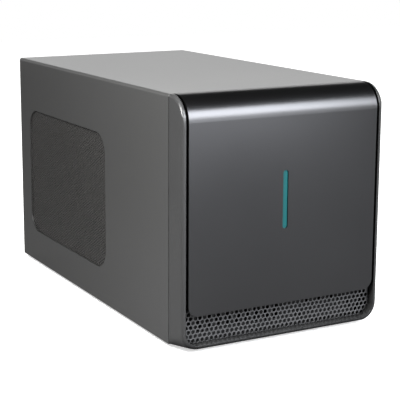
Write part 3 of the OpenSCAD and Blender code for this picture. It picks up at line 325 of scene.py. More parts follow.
@dataclass(frozen=True)
class LitPlastic:
    """Translucent plastic with a lamp behind it: a deep teal that glows."""

    name: str = "lit_acrylic"
    base: str = "#063e40"
    glow: str = "#1cb6b8"
    strength: float = 0.11
    dimmest_share: float = 0.85
    clouds_per_m: float = 120.0
    roughness: float = 0.28

    def make(self) -> bpy.types.Material:
        """Builds the material, with a glow that is faintly uneven, as behind a thick guide.

        Returns:
            The material.
        """
        material = bpy.data.materials.new(self.name)
        material.use_nodes = True
        tree = material.node_tree
        tree.nodes.clear()
        place = add_node(tree, "ShaderNodeTexCoord").outputs["Object"]
        cloud = add_node(
            tree,
            "ShaderNodeTexNoise",
            None,
            {"Vector": place, "Scale": self.clouds_per_m, "Detail": 1.0},
        ).outputs[0]
        power = add_node(
            tree,
            "ShaderNodeMapRange",
            None,
            {0: cloud, 1: 0.3, 2: 0.7, 3: self.strength * self.dimmest_share, 4: self.strength},
        ).outputs[0]
        shader = add_node(
            tree,
            "ShaderNodeBsdfPrincipled",
            None,
            {
                "Base Color": linear(self.base),
                "Roughness": self.roughness,
                "IOR": 1.49,
                "Emission Color": linear(self.glow),
                "Emission Strength": power,
            },
        )
        add_node(tree, "ShaderNodeOutputMaterial", None, {"Surface": shader.outputs[0]})
        return material


# Polyester powder coat on steel: a satin, warm dark grey with dimples of about 1 mm, and
# folded edges painted as thin dark lines of painted shade.
POWDER_COAT = Finish(
    "powder_coated_steel", "#353534", "#3a3a3a", 0.29, Grain.ORANGE_PEEL, 1.1, 0.01,
    spread=0.02, edge_wear_and_shade="#0b0b0a", edge_mm=0.9,
)
# The same coat on the perforated sheet, thinner and a little darker.
COATED_MESH = Finish(
    "powder_coated_mesh", "#2a2928", "#302f2e", 0.4, Grain.ORANGE_PEEL, 0.6, 0.006
)
# Aluminium blasted and anodised dark grey: metallic, soft and faintly grained.
ANODISED = Finish(
    "anodised_aluminium", "#4c4c4d", "#505051", 0.3, Grain.BLASTED, 0.35, 0.003,
    metallic=1.0, spread=0.015,
)
# ABS from a spark-eroded tool: fine grain, with painted shade along its edges and deep in its
# groove.
MOULDED_ABS = Finish(
    "moulded_abs", "#2c2c2c", "#323232", 0.26, Grain.SPARK, 0.25, 0.004,
    spread=0.02, edge_wear_and_shade="#0a0a0a", edge_mm=0.8, shade_reach_mm=14.0,
)
# Black stoved paint on the inner sheet steel.
STOVED_STEEL = Finish(
    "stove_painted_steel", "#1a1a1b", "#212122", 0.45, Grain.ORANGE_PEEL, 0.8, 0.008,
    edge_wear_and_shade="#2c2c2d",
)
# Dark painted honeycomb steel behind the bezel, with painted shade down in its cells.
PAINTED_GRILLE = Finish(
    "painted_grille_steel", "#474748", "#4f4f50", 0.36, Grain.ORANGE_PEEL, 0.6, 0.004,
    edge_wear_and_shade="#5c5c5d", edge_mm=0.3, shade_reach_mm=3.0,
)
# Zinc-plated sheet, faintly brushed by the rolling mill.
ZINC_SHEET = Finish(
    "zinc_plated_sheet", "#9fa1a3", "#b2b3b4", 0.36, Grain.BRUSHED, 0.5, 0.004,
    metallic=1.0, along=(1.0, 12.0, 0.4),
)
# Bright zinc on small screws, nuts and pins.
ZINC_SCREW = Finish(
    "bright_zinc_screw", "#b9bbbd", "#cfd0d1", 0.24, Grain.PLATED, 0.4, 0.003, metallic=1.0
)
# Dull zinc on the blind rivets.
DULL_ZINC = Finish(
    "dull_zinc_rivet", "#5b5c5d", "#6a6b6c", 0.5, Grain.PLATED, 0.4, 0.004, metallic=1.0
)
# Vulcanised rubber: black, dull and slightly dusty to the eye.
RUBBER = Finish("vulcanised_rubber", "#1c1c1c", "#262626", 0.75, Grain.CAST, 0.4, 0.02)
# Solder mask over copper tracks on glass-fibre laminate.
LAMINATE = Finish(
    "solder_masked_laminate", "#14452f", "#1d5c3e", 0.33, Grain.TRACKS, 2.2, 0.03, coat=0.3
)
# Turned brass, with fine tool marks round its axis.
TURNED_BRASS = Finish(
    "turned_brass", "#b08d45", "#c7a75c", 0.28, Grain.BRUSHED, 0.3, 0.003,
    metallic=1.0, along=(0.3, 0.3, 8.0),
)
# Glass-filled nylon: satin with a fine moulded grain.
BLACK_NYLON = Finish("black_nylon", "#1d1d1f", "#252527", 0.42, Grain.SPARK, 0.3, 0.006)
BLUE_NYLON = Finish("blue_nylon", "#27619b", "#2d6cab", 0.38, Grain.SPARK, 0.3, 0.006)
# Extruded aluminium, clear anodised: fine lines along the extrusion.
EXTRUDED = Finish(
    "extruded_aluminium", "#8f9296", "#a3a6aa", 0.34, Grain.BRUSHED, 0.4, 0.005,
    metallic=1.0, along=(6.0, 0.4, 6.0),
)
# Drawn aluminium cans of the capacitors, nearly mirror bright.
CAN = Finish("drawn_can", "#a7a9ab", "#bcbdbf", 0.22, Grain.PLATED, 0.8, 0.003, metallic=1.0)
# Pressed iron powder of the chokes: dull and slightly gritty.
FERRITE = Finish("pressed_iron_powder", "#4b4c4e", "#5a5b5d", 0.7, Grain.CAST, 0.3, 0.015)
# Glass-filled polyester of the fans: black and satin.
FAN_PLASTIC = Finish("fan_polyester", "#1b1b1c", "#232324", 0.4, Grain.SPARK, 0.4, 0.005)
# Nickel-plated wire of the fan guards: bright and smooth.
GUARD_WIRE = Finish(
    "plated_guard_wire", "#b4b6b8", "#c6c7c9", 0.2, Grain.PLATED, 0.6, 0.003, metallic=1.0
)
# Black oxide on turned steel: dark with a faint metal sheen.
BLACK_OXIDE = Finish(
    "black_oxide_steel", "#2a2a2b", "#363637", 0.34, Grain.BRUSHED, 0.3, 0.004,
    metallic=0.85, along=(1.0, 0.2, 1.0),
)
# Gold flash on the card connector's springs: yellow and glossy.
GOLD = Finish("gold_flash", "#c79a3c", "#dab257", 0.22, Grain.PLATED, 0.2, 0.001, metallic=1.0)
# Moulding epoxy of the chips, dull black, and the fired ceramic of the small parts.
EPOXY = Finish("chip_epoxy", "#1f1f20", "#292929", 0.5, Grain.CAST, 0.2, 0.004)
CERAMIC = Finish("fired_ceramic", "#8a7660", "#9c876f", 0.45, Grain.CAST, 0.2, 0.003)


class Bench:
    """Hands out each finish's material, made once."""

    def __init__(self) -> None:
        """Starts with no materials."""
        self.made: dict[str, bpy.types.Material] = {}

    def material(self, finish: Finish | LitPlastic) -> bpy.types.Material:
        """Gives the material of a finish.

        Args:
            finish: The finish.

        Returns:
            Its material, the same one each time.
        """
        if finish.name not in self.made:
            self.made[finish.name] = finish.make()
        return self.made[finish.name]


class Shape:
    """Collects the vertices and faces of one piece, in millimetres."""

    def __init__(self) -> None:
        """Starts with nothing."""
        self.points: list[Point] = []
        self.faces: list[tuple[int, ...]] = []

    def block(self, low: Sequence[float], high: Sequence[float]) -> None:
        """Adds a block.

        Args:
            low: Its lowest corner.
            high: Its highest corner.
        """
        start = len(self.points)
        self.points += list(itertools.product(*zip(low, high)))
        for face in BLOCK_FACES:
            self.faces.append(tuple(start + i for i in face))

    def stack(self, rings: Sequence[Sequence[Point]]) -> None:
        """Adds a skin over rings of as many points each, closed at the first and open above.

        Args:
            rings: The rings, from the lowest up, each run the same way round.
        """
        start, n = len(self.points), len(rings[0])
        for loop in rings:
            self.points += list(loop)
        for k in range(len(rings) - 1):
            for i in range(n):
                a, b = start + k * n + i, start + k * n + (i + 1) % n
                self.faces.append((a, b, b + n, a + n))
        self.faces.append(tuple(start + i for i in reversed(range(n))))

    def add(self, other: "Shape", matrix: Matrix) -> None:
        """Adds a moved copy of another shape.

        Args:
            other: The shape.
            matrix: Where it goes.
        """
        start = len(self.points)
        self.points += [tuple(matrix @ Vector(p)) for p in other.points]
        self.faces += [tuple(start + i for i in f) for f in other.faces]

    def cross_recess(
        self, rim: int, arm: tuple[float, float], z: float, depth: float, draft: Sequence[float]
    ) -> None:
        """Closes the last ring with a face that has a cross recess in it.

        Args:
            rim: How many points the last ring has.
            arm: Half the width of the cross's arms, and their length from the axis.
            z: The height of the face.
            depth: The depth of the recess.
            draft: The shares of its size in X and in Y that the floor keeps.
        """
        wide, long = arm
        outline = [
            (long, -wide), (long, wide), (wide, wide), (wide, long),
            (-wide, long), (-wide, wide), (-long, wide), (-long, -wide),
            (-wide, -wide), (-wide, -long), (wide, -long), (wide, -wide),
        ]
        last = [len(self.points) - rim + i for i in range(rim)]
        n = len(outline)
        mouth = [len(self.points) + i for i in range(n)]
        floor = [m + n for m in mouth]
        self.points += [(x, y, z) for x, y in outline]
        self.points += [(x * draft[0], y * draft[1], z - depth) for x, y in outline]
        self.bridge(mouth, last)
        for i in range(n):
            j = (i + 1) % n
            self.faces.append((mouth[i], floor[i], floor[j], mouth[j]))
        self.faces.append(tuple(floor))

    def bridge(self, inner: list[int], outer: list[int]) -> None:
        """Fills between two loops that both run round the Z axis.

        Args:
            inner: The points of the inner loop.
            outer: The points of the outer loop.
        """

        def angle(index: int) -> float:
            """Gives a point's angle about the axis."""
            x, y, _ = self.points[index]
            return math.atan2(y, x) % (2 * math.pi)

        a = sorted(inner, key=angle)
        b = sorted(outer, key=angle)
        i = j = 0
        while i < len(a) or j < len(b):
            next_a = angle(a[i]) if i < len(a) else math.inf
            next_b = angle(b[j]) if j < len(b) else math.inf
            if next_a <= next_b:
                self.faces.append((a[i - 1], a[i % len(a)], b[j - 1]))
                i += 1
            else:
                self.faces.append((a[i - 1], b[j % len(b)], b[j - 1]))
                j += 1

    def piece(
        self,
        name: str,
        material: bpy.types.Material,
        body: str,
        slot: str,
        replaces: Iterable[str] = (),
        smooth_deg: float = 35.0,
    ) -> bpy.types.Object:
        """Makes the object, says what it rides on, and hides the nodes that it stands for.

        Args:
            name: The piece's name.
            material: Its material.
            body: The body that it moves with.
            slot: Not used.
            replaces: The nodes that it stands for.
            smooth_deg: Edges that turn less than this look smooth.

        Returns:
            The new object.
        """
        mesh = bpy.data.meshes.new(name)
        mesh.from_pydata([(x * MM, y * MM, z * MM) for x, y, z in self.points], [], self.faces)
        work = bmesh.new()
        work.from_mesh(mesh)
        bmesh.ops.remove_doubles(work, verts=work.verts, dist=1e-6)
        bmesh.ops.recalc_face_normals(work, faces=work.faces)
        limit = math.radians(smooth_deg)
        for edge in work.edges:
            edge.smooth = edge.is_manifold and edge.calc_face_angle(math.pi) < limit
        for face in work.faces:
            face.smooth = True
        work.to_mesh(mesh)
        work.free()
        thing = bpy.data.objects.new(name, mesh)
        bpy.context.scene.collection.objects.link(thing)
        thing.data.materials.append(material)
        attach(thing, body)
        if replaces:
            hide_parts(*replaces)
        LOG.info("%s rides on %s", name, body)
        return thing


def ring(radius: float, z: float, steps: int) -> list[Point]:
    """Gives a level circle of points about the Z axis.

    Args:
        radius: Its radius.
        z: Its height.
        steps: How many points it has.

    Returns:
        The points.
    """
    return [
        (radius * math.cos(a), radius * math.sin(a), z)
        for a in (2 * math.pi * i / steps for i in range(steps))
    ]


def node_bounds(node: str) -> tuple[Vector, Vector]:
    """Gives a node's lowest and highest corners in millimetres."""
    low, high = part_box(node)
    return low / MM, high / MM


def islands(thing: bpy.types.Object) -> list[tuple[Vector, Vector]]:
    """Finds the separate solids of a node.

    Args:
        thing: The node's object.

    Returns:
        Each solid's lowest and highest corners, in millimetres.
    """
    work = bmesh.new()
    work.from_mesh(thing.data)
    bmesh.ops.remove_doubles(work, verts=work.verts, dist=2e-6)
    left, found = set(work.verts), []
    while left:
        todo = [left.pop()]
        low, high = todo[0].co.copy(), todo[0].co.copy()
        while todo:
            vert = todo.pop()
            low = Vector(map(min, low, vert.co))
            high = Vector(map(max, high, vert.co))
            for edge in vert.link_edges:
                other = edge.other_vert(vert)
                if other in left:
                    left.remove(other)
                    todo.append(other)
        found.append((low / MM, high / MM))
    work.free()
    return sorted(found, key=lambda pair: tuple(pair[0]))


def dress(
    nodes: dict[str, bpy.types.Object], names: Iterable[str], material: bpy.types.Material
) -> None:
    """Gives CAD nodes their material.

    Args:
        nodes: All nodes' objects by name.
        names: The nodes that are dressed.
        material: The material that they get.
    """
    for name in names:
        data = nodes[name].data
        data.materials.clear()
        data.materials.append(material)


@dataclass
class PerforatedSheets:
    """The finely perforated sheets behind the two vent openings."""

    # The holes' pitch along a column, the columns' distance and the holes' diameter.
    pitch: float = 2.46
    column: float = 2.13
    hole: float = 1.84
    # How far the sheet, and its holes, reach past the opening's edge.
    lap: float = 6.0
    past: float = 2.6

    def build(self, bench: Bench) -> None:
        """Makes both sheets in place of the coarser ones of the frame.

        Args:
            bench: Where the materials come from.
        """
        for side, node in ((-1, "vent_sheet_left"), (1, "vent_sheet_right")):
            low, high = node_bounds(node)
            outer, inner = (low.x, high.x) if side < 0 else (high.x, low.x)
            coat = bench.material(COATED_MESH)
            shape = self.sheet(low, high, outer, inner)
            shape.piece("fine_" + node, coat, "cover", "powder_coat", [node], 20)

    def sheet(self, low: Vector, high: Vector, outer: float, inner: float) -> Shape:
        """Builds one sheet.

        Each hole has eight sides and sits in a cell whose sides meet the next column half
        a pitch up, so that the whole sheet is one closed skin.

        Args:
            low: The lowest corner of the sheet.
            high: The highest corner of the sheet.
            outer: Where its outer face lies.
            inner: Where its inner face lies.

        Returns:
            The sheet.
        """
        shape = Shape()
        edge = self.lap - self.past
        columns = round((high.y - low.y - 2 * edge) / self.column)
        rows = round((high.z - low.z - 2 * edge) / self.pitch)
        y0 = (low.y + high.y - columns * self.column) / 2
        z0 = (low.z + high.z - rows * self.pitch) / 2
        half = self.pitch / 2
        marks = 2 * rows + 1
        directions = [(math.cos(a), math.sin(a)) for a in (math.pi / 4 * i for i in range(8))]
        faces: list[tuple[int, ...]] = []
        for x in (outer, inner):
            start = len(shape.points)
            for i in range(columns + 1):
                shape.points += [(x, y0 + i * self.column, z0 + k * half) for k in range(marks)]
            first_hole = len(shape.points)
            count = 0
            for i in range(columns):
                left, right = start + i * marks, start + (i + 1) * marks
                if i % 2:
                    for k in (0, marks - 2):
                        faces.append((left + k, right + k, right + k + 1, left + k + 1))
                for j in range(rows - i % 2):
                    k = 2 * j + i % 2
                    middle_y = y0 + (i + 0.5) * self.column
                    middle_z = z0 + (k + 1) * half
                    h = len(shape.points)
                    shape.points += [
                        (x, middle_y + self.hole / 2 * c, middle_z + self.hole / 2 * s)
                        for c, s in directions
                    ]
                    lb, lm, lt = left + k, left + k + 1, left + k + 2
                    rb, rm, rt = right + k, right + k + 1, right + k + 2
                    faces += [
                        (rm, rt, h + 1, h), (rt, h + 2, h + 1), (rt, lt, h + 2),
                        (lt, h + 3, h + 2), (lt, lm, h + 4, h + 3), (lm, lb, h + 5, h + 4),
                        (lb, h + 6, h + 5), (lb, rb, h + 6), (rb, h + 7, h + 6),
                        (rb, rm, h, h + 7),
                    ]
                    count += 1
            last = start + columns * marks
            corner = len(shape.points)
            shape.points += [(x, y, z) for y in (low.y, high.y) for z in (low.z, high.z)]
            lines = {
                "rear": [last + k for k in range(marks)],
                "front": [start + k for k in range(marks)],
                "under": [start + i * marks for i in range(columns + 1)],
                "over": [start + (i + 1) * marks - 1 for i in range(columns + 1)],
            }
            faces += [
                tuple([corner, corner + 1] + lines["front"][::-1]),
                tuple([corner + 3, corner + 2] + lines["rear"]),
                tuple([corner + 2, corner] + lines["under"]),
                tuple([corner + 1, corner + 3] + lines["over"][::-1]),
            ]
            if x == outer:
                face_holes, face_corner, holes = first_hole, corner, count
        for n in range(holes):
            a, b = face_holes + 8 * n, first_hole + 8 * n
            faces += [(a + i, a + (i + 1) % 8, b + (i + 1) % 8, b + i) for i in range(8)]
        for i, j in ((0, 1), (1, 3), (3, 2), (2, 0)):
            faces.append((face_corner + i, face_corner + j, corner + j, corner + i))
        shape.faces = faces
        return shape


@dataclass(frozen=True)
class ScrewGroup:
    """Screws of one node: the way their heads face, and what carries them."""

    node: str
    body: str
    heads: Point
    finish: Finish = ZINC_SCREW
    slot: str = "screw_steel"


@dataclass
class Screws:
    """Small pan-head screws with cross recesses, in place of the frame's plain ones."""

    # The head's diameter over the shank's, and its height over the shank's diameter.
    head_share: float = 1.9
    head_h_share: float = 0.7
    # The head's upright wall and its dome over its height, and how far the dome draws in
    # over the head's radius, at the angles where it has a ring.
    wall_share: float = 0.42
    dome_share: float = 0.58
    draw_in_share: float = 0.55
    dome_angles: tuple[float, ...] = (0, 20, 40, 60, 78)
    # The tip's radius and the length of its taper, over the shank's radius.
    tip_share: float = 0.7
    tip_taper_share: float = 0.3
    # The cross: half its arms' width and their length over the head's radius, its depth
    # over the head's height, and its draft.
    arm_share: tuple[float, float] = (0.11, 0.5)
    recess_share: float = 0.5
    draft: tuple[float, float] = (0.55, 0.8)
    steps: int = 24
    groups: tuple[ScrewGroup, ...] = (
        ScrewGroup("bezel_screws", "chassis", (0, 1, 0)),
        ScrewGroup("board_screws", "chassis", (0, 0, 1)),
        ScrewGroup("fan_screws", "chassis", (-1, 0, 0)),
        ScrewGroup("psu_screws", "chassis", (0, -1, 0), BLACK_OXIDE),
        ScrewGroup("inlet_screws", "chassis", (0, 1, 0)),
        ScrewGroup("slot_screw_1", "blank_1", (0, 0, 1)),
        ScrewGroup("slot_screw_2", "blank_2", (0, 0, 1)),
    )

    def build(self, bench: Bench, nodes: dict[str, bpy.types.Object]) -> None:
        """Makes each group's screws where the frame has them.

        Args:
            bench: Where the materials come from.
            nodes: All nodes' objects by name.
        """
        for group in self.groups:
            shape = Shape()
            towards = Vector(group.heads)
            for low, high in islands(nodes[group.node]):
                middle, size = (low + high) / 2, high - low
                length = abs(size.dot(towards))
                across = min(size[i] for i in range(3) if abs(towards[i]) < 0.5)
                top = middle + towards * length / 2
                turn = towards.to_track_quat("Z", "Y").to_matrix().to_4x4()
                shape.add(self.screw(across, length), Matrix.Translation(top) @ turn)
            steel = bench.material(group.finish)
            shape.piece("cross_" + group.node, steel, group.body, group.slot, [group.node])

    def screw(self, across: float, length: float) -> Shape:
        """Builds a screw with the top of its head at the origin.

        Args:
            across: The head's diameter.
            length: The whole length.

        Returns:
            The screw, pointing up.
        """
        shape = Shape()
        head_r = across / 2
        shank_r = head_r / self.head_share
        head_h = 2 * shank_r * self.head_h_share
        dome = [
            (
                head_r * (1 - self.draw_in_share * (1 - math.cos(a))),
                head_h * (self.wall_share + self.dome_share * math.sin(a)) - head_h,
            )
            for a in map(math.radians, self.dome_angles)
        ]
        profile = [
            (shank_r * self.tip_share, -length),
            (shank_r, shank_r * self.tip_taper_share - length),
            (shank_r, -head_h),
            (head_r, -head_h),
            *dome,
        ]
        shape.stack([ring(r, z, self.steps) for r, z in profile])
        wide, long = self.arm_share
        shape.cross_recess(
            self.steps,
            (head_r * wide, head_r * long),
            dome[-1][1],
            head_h * self.recess_share,
            self.draft,
        )
        return shape


@dataclass
class Thumbscrews:
    """The four captive thumbscrews, with straight knurling and a cross recess."""

    ridges: int = 44
    ridge_depth: float = 0.28
    shank_r: float = 1.5
    point_r: float = 1.15
    point_len: float = 0.5
    # The neck below the knurling: its radius over the head's, and its length.
    neck_share: float = 0.8
    neck_len: float = 0.9
    head_h: float = 5.95
    # The knurling starts so far over the head's underside and ends so far under its face.
    knurl_from: float = 1.25
    knurl_to: float = 0.75
    # How far in from the head's radius each ring of its bevels and its face lies.
    lower_bevel: float = 0.35
    upper_bevels: tuple[tuple[float, float], ...] = ((0.45, 0.3), (0.75, 0.12), (1.3, 0.0))
    # The cross: half its arms' width, their length over the head's radius, depth and draft.
    arm_half: float = 0.42
    arm_share: float = 0.5
    recess: float = 1.6
    draft: tuple[float, float] = (0.6, 0.8)
    bodies: tuple[str, ...] = (
        "knob_lower_left", "knob_lower_right", "knob_upper_left", "knob_upper_right",
    )

    def build(self, bench: Bench) -> None:
        """Makes each thumbscrew in place of the frame's.

        Args:
            bench: Where the materials come from.
        """
        to_rear = Matrix.Rotation(-math.pi / 2, 4, "X")
        steel = bench.material(BLACK_OXIDE)
        for number, body in enumerate(self.bodies, 1):
            node = f"thumbscrew_{number}"
            low, high = node_bounds(node)
            middle = (low + high) / 2
            place = Matrix.Translation((middle.x, high.y, middle.z))
            shape = Shape()
            shape.add(self.knob((high.x - low.x) / 2, high.y - low.y), place @ to_rear)
            shape.piece("knurled_" + node, steel, body, "knob_steel", [node], 25)

    def knob(self, head_r: float, length: float) -> Shape:
        """Builds a thumbscrew with its face at the origin, pointing up.

        Args:
            head_r: The head's radius.
            length: The length with the shank.

        Returns:
            The thumbscrew.
        """
        n = self.ridges * 2
        under = -self.head_h
        neck_r = head_r * self.neck_share
        # The radius, the height and the depth of the ridges, from the tip to the face.
        profile = [
            (self.point_r, -length, 0.0),
            (self.shank_r, self.point_len - length, 0.0),
            (self.shank_r, under, 0.0),
            (neck_r, under, 0.0),
            (neck_r, self.neck_len + under, 0.0),
            (head_r - self.lower_bevel, self.neck_len + under, 0.0),
            (head_r, self.knurl_from + under, self.ridge_depth),
            (head_r, -self.knurl_to, self.ridge_depth),
            *((head_r - inset, -down, 0.0) for inset, down in self.upper_bevels),
        ]
        shape = Shape()
        shape.stack([self.knurl(n, *row) for row in profile])
        arm = (self.arm_half, head_r * self.arm_share)
        shape.cross_recess(n, arm, 0.0, self.recess, self.draft)
        return shape

    @staticmethod
    def knurl(n: int, radius: float, z: float, depth: float) -> list[Point]:
        """Gives one ring of ridges.

        Args:
            n: How many points it has.
            radius: The radius over the ridges.
            z: Its height.
            depth: How far every second point lies inside.

        Returns:
            The points.
        """
        turns = [(2 * math.pi * i / n, radius - depth * (i % 2)) for i in range(n)]
        return [(r * math.cos(a), r * math.sin(a), z) for a, r in turns]


@dataclass
class BoardParts:
    """Small parts on the main board: chips, passives and the connector's contacts."""

    # The underside and top of a package over the board.
    package_z: tuple[float, float] = (0.12, 1.15)
    # A lead's pitch, its inner and outer end from the package's side, half its width, and
    # its thickness.
    lead_pitch: float = 0.8
    lead_ends: tuple[float, float] = (-0.2, 0.7)
    lead_half: float = 0.15
    lead_t: float = 0.25
    # How many passives stand round a chip, how far from it, and where they may in X.
    per_chip: int = 14
    ring_mm: tuple[float, float] = (2.0, 5.0)
    free_x: tuple[float, float] = (-85, 45)
    # Half a passive's length and width, and its height; the same of its ends.
    passive: Point = (0.5, 0.42, 0.55)
    plated_end: Point = (0.18, 0.45, 0.6)
    end_at: float = 0.65
    seed: int = 7
    # The card connector: its latch's part, its end walls, and its key from the end.
    latch_end: float = 9.0
    end_wall: float = 2.4
    key_from_end: float = 10.6
    key_half: float = 1.6
    # Half the groove's width; a contact's pitch, thickness, half its width, and how far
    # its lower and upper ends lie under the connector's top.
    groove_half: float = 0.95
    contact_pitch: float = 1.0
    contact_t: float = 0.3
    contact_half: float = 0.3
    contact_z: tuple[float, float] = (6.5, 1.0)
    # Each chip's place, width and length.
    chips: tuple[tuple[float, float, float, float], ...] = (
        (-72.0, 60.0, 12.0, 12.0), (-70.0, 20.0, 7.0, 9.0), (-24.0, 20.0, 9.0, 9.0),
        (4.0, 118.0, 8.0, 8.0), (30.0, 100.0, 6.0, 8.0), (-72.0, 100.0, 5.0, 6.0),
    )

    def build(self, bench: Bench) -> None:
        """Makes the chips, the passives and the contacts.

        Args:
            bench: Where the materials come from.
        """
        top = node_bounds("main_board")[1].z
        self.make_chips(bench, top)
        self.make_passives(bench, top)
        self.make_contacts(bench)

    def make_chips(self, bench: Bench, top: float) -> None:
        """Makes packages with their rows of leads.

        Args:
            bench: Where the materials come from.
            top: The height of the board's upper face.
        """
        bodies, leads = Shape(), Shape()
        for x, y, w, l in self.chips:
            bodies.block(
                (x - w / 2, y - l / 2, top + self.package_z[0]),
                (x + w / 2, y + l / 2, top + self.package_z[1]),
            )
            for k in range(int(l / self.lead_pitch) - 1):
                at = y - l / 2 + self.lead_pitch * (k + 1)
                for side in (-1, 1):
                    ends = [x + side * (w / 2 + end) for end in self.lead_ends]
                    leads.block(
                        (min(ends), at - self.lead_half, top),
                        (max(ends), at + self.lead_half, top + self.lead_t),
                    )
        bodies.piece("board_chips", bench.material(EPOXY), "chassis", "connector_plastic")
        leads.piece("chip_leads", bench.material(ZINC_SCREW), "chassis", "screw_steel")

    def make_passives(self, bench: Bench, top: float) -> None:
        """Scatters ceramic passives with plated ends round the chips.

        Args:
            bench: Where the materials come from.
            top: The height of the board's upper face.
        """
        draw = random.Random(self.seed)
        bodies, ends = Shape(), Shape()
        body_x, body_y, body_z = self.passive
        end_x, end_y, end_z = self.plated_end
        for x, y, w, l in self.chips:
            for _ in range(self.per_chip):
                px = x + draw.choice((-1, 1)) * (w / 2 + draw.uniform(*self.ring_mm))
                py = y + draw.uniform(-l / 2, l / 2)
                if not self.free_x[0] < px < self.free_x[1]:
                    continue
                bodies.block(
                    (px - body_x, py - body_y, top), (px + body_x, py + body_y, top + body_z)
                )
                for side in (-1, 1):
                    at = px + side * self.end_at
                    ends.block((at - end_x, py - end_y, top), (at + end_x, py + end_y, top + end_z))
        bodies.piece("board_passives", bench.material(CERAMIC), "chassis", "connector_plastic")
        ends.piece("passive_ends", bench.material(ZINC_SCREW), "chassis", "screw_steel")

    def make_contacts(self, bench: Bench) -> None:
        """Makes the two rows of gilt springs in the card connector's groove.

        Args:
            bench: Where the materials come from.
        """
        low, high = node_bounds("card_connector")
        middle = (low.x + high.x) / 2
        shape = Shape()
        first, last = low.y + self.latch_end + self.end_wall, high.y - self.end_wall
        for k in range(int((last - first) / self.contact_pitch) + 1):
            y = first + k * self.contact_pitch
            if abs(y - (high.y - self.key_from_end)) < self.key_half:
                continue
            for side in (-1, 1):
                wall = middle + side * self.groove_half
                faces = (wall, wall - side * self.contact_t)
                shape.block(
                    (min(faces), y - self.contact_half, high.z - self.contact_z[0]),
                    (max(faces), y + self.contact_half, high.z - self.contact_z[1]),
                )
        shape.piece("connector_contacts", bench.material(GOLD), "chassis", "spacer_brass")


@dataclass
class Dressing:
    """Which finish each CAD node that stays in view gets."""

    finishes: tuple[tuple[Finish | LitPlastic, tuple[str, ...]], ...] = (
        (POWDER_COAT, ("cover",)),
        (STOVED_STEEL, ("base_tray", "front_bulkhead", "rear_panel", "psu_case")),
        (MOULDED_ABS, ("front_bezel",)),
        (ANODISED, ("front_plate",)),
        (LitPlastic(), ("light_guide",)),
        (PAINTED_GRILLE, ("front_grille",)),
        (RUBBER, ("foot_front_left", "foot_front_right", "foot_rear_left", "foot_rear_right")),
        (ZINC_SHEET, ("fan_bracket", "slot_cover_1", "slot_cover_2", "data_port")),
        (DULL_ZINC, ("chassis_rivets",)),
        (ZINC_SCREW, ("panel_nuts", "fan_shaft", "psu_fan_shaft", "inlet_pins")),
        (LAMINATE, ("main_board", "led_board")),
        (TURNED_BRASS, ("board_standoffs",)),
        (BLACK_NYLON, ("card_connector", "power_headers", "psu_outlets", "mains_inlet")),
        (BLUE_NYLON, ("card_latch",)),
        (EXTRUDED, ("controller_heatsink",)),
        (CAN, ("capacitors",)),
        (FERRITE, ("inductors",)),
        (FAN_PLASTIC, ("fan_frame", "fan_rotor", "psu_fan_frame", "psu_fan_rotor")),
        (GUARD_WIRE, ("fan_guard", "psu_fan_guard")),
    )

    def apply(self, bench: Bench, nodes: dict[str, bpy.types.Object]) -> None:
        """Gives every node its finish."""
        for finish, names in self.finishes:
            dress(nodes, names, bench.material(finish))


@dataclass(frozen=True)
class Softbox:
    """A soft lamp, aimed at a point of the case."""

    name: str
    place: Point
    aim: Point
    width: float
    height: float
    watts: float
    colour: str = "#ffffff"
    in_gloss: bool = True

    def build(self) -> None:
        """Makes the lamp."""
        lamp = bpy.data.lights.new(self.name, "AREA")
        lamp.shape = "RECTANGLE"
        lamp.size, lamp.size_y = self.width, self.height
        lamp.energy = self.watts
        lamp.color = linear(self.colour)[:3]
        thing = bpy.data.objects.new(self.name, lamp)
        bpy.context.scene.collection.objects.link(thing)
        thing.location = self.place
        thing.visible_glossy = self.in_gloss
        towards = Vector(self.aim) - Vector(self.place)
        thing.rotation_euler = towards.to_track_quat("-Z", "Y").to_euler()


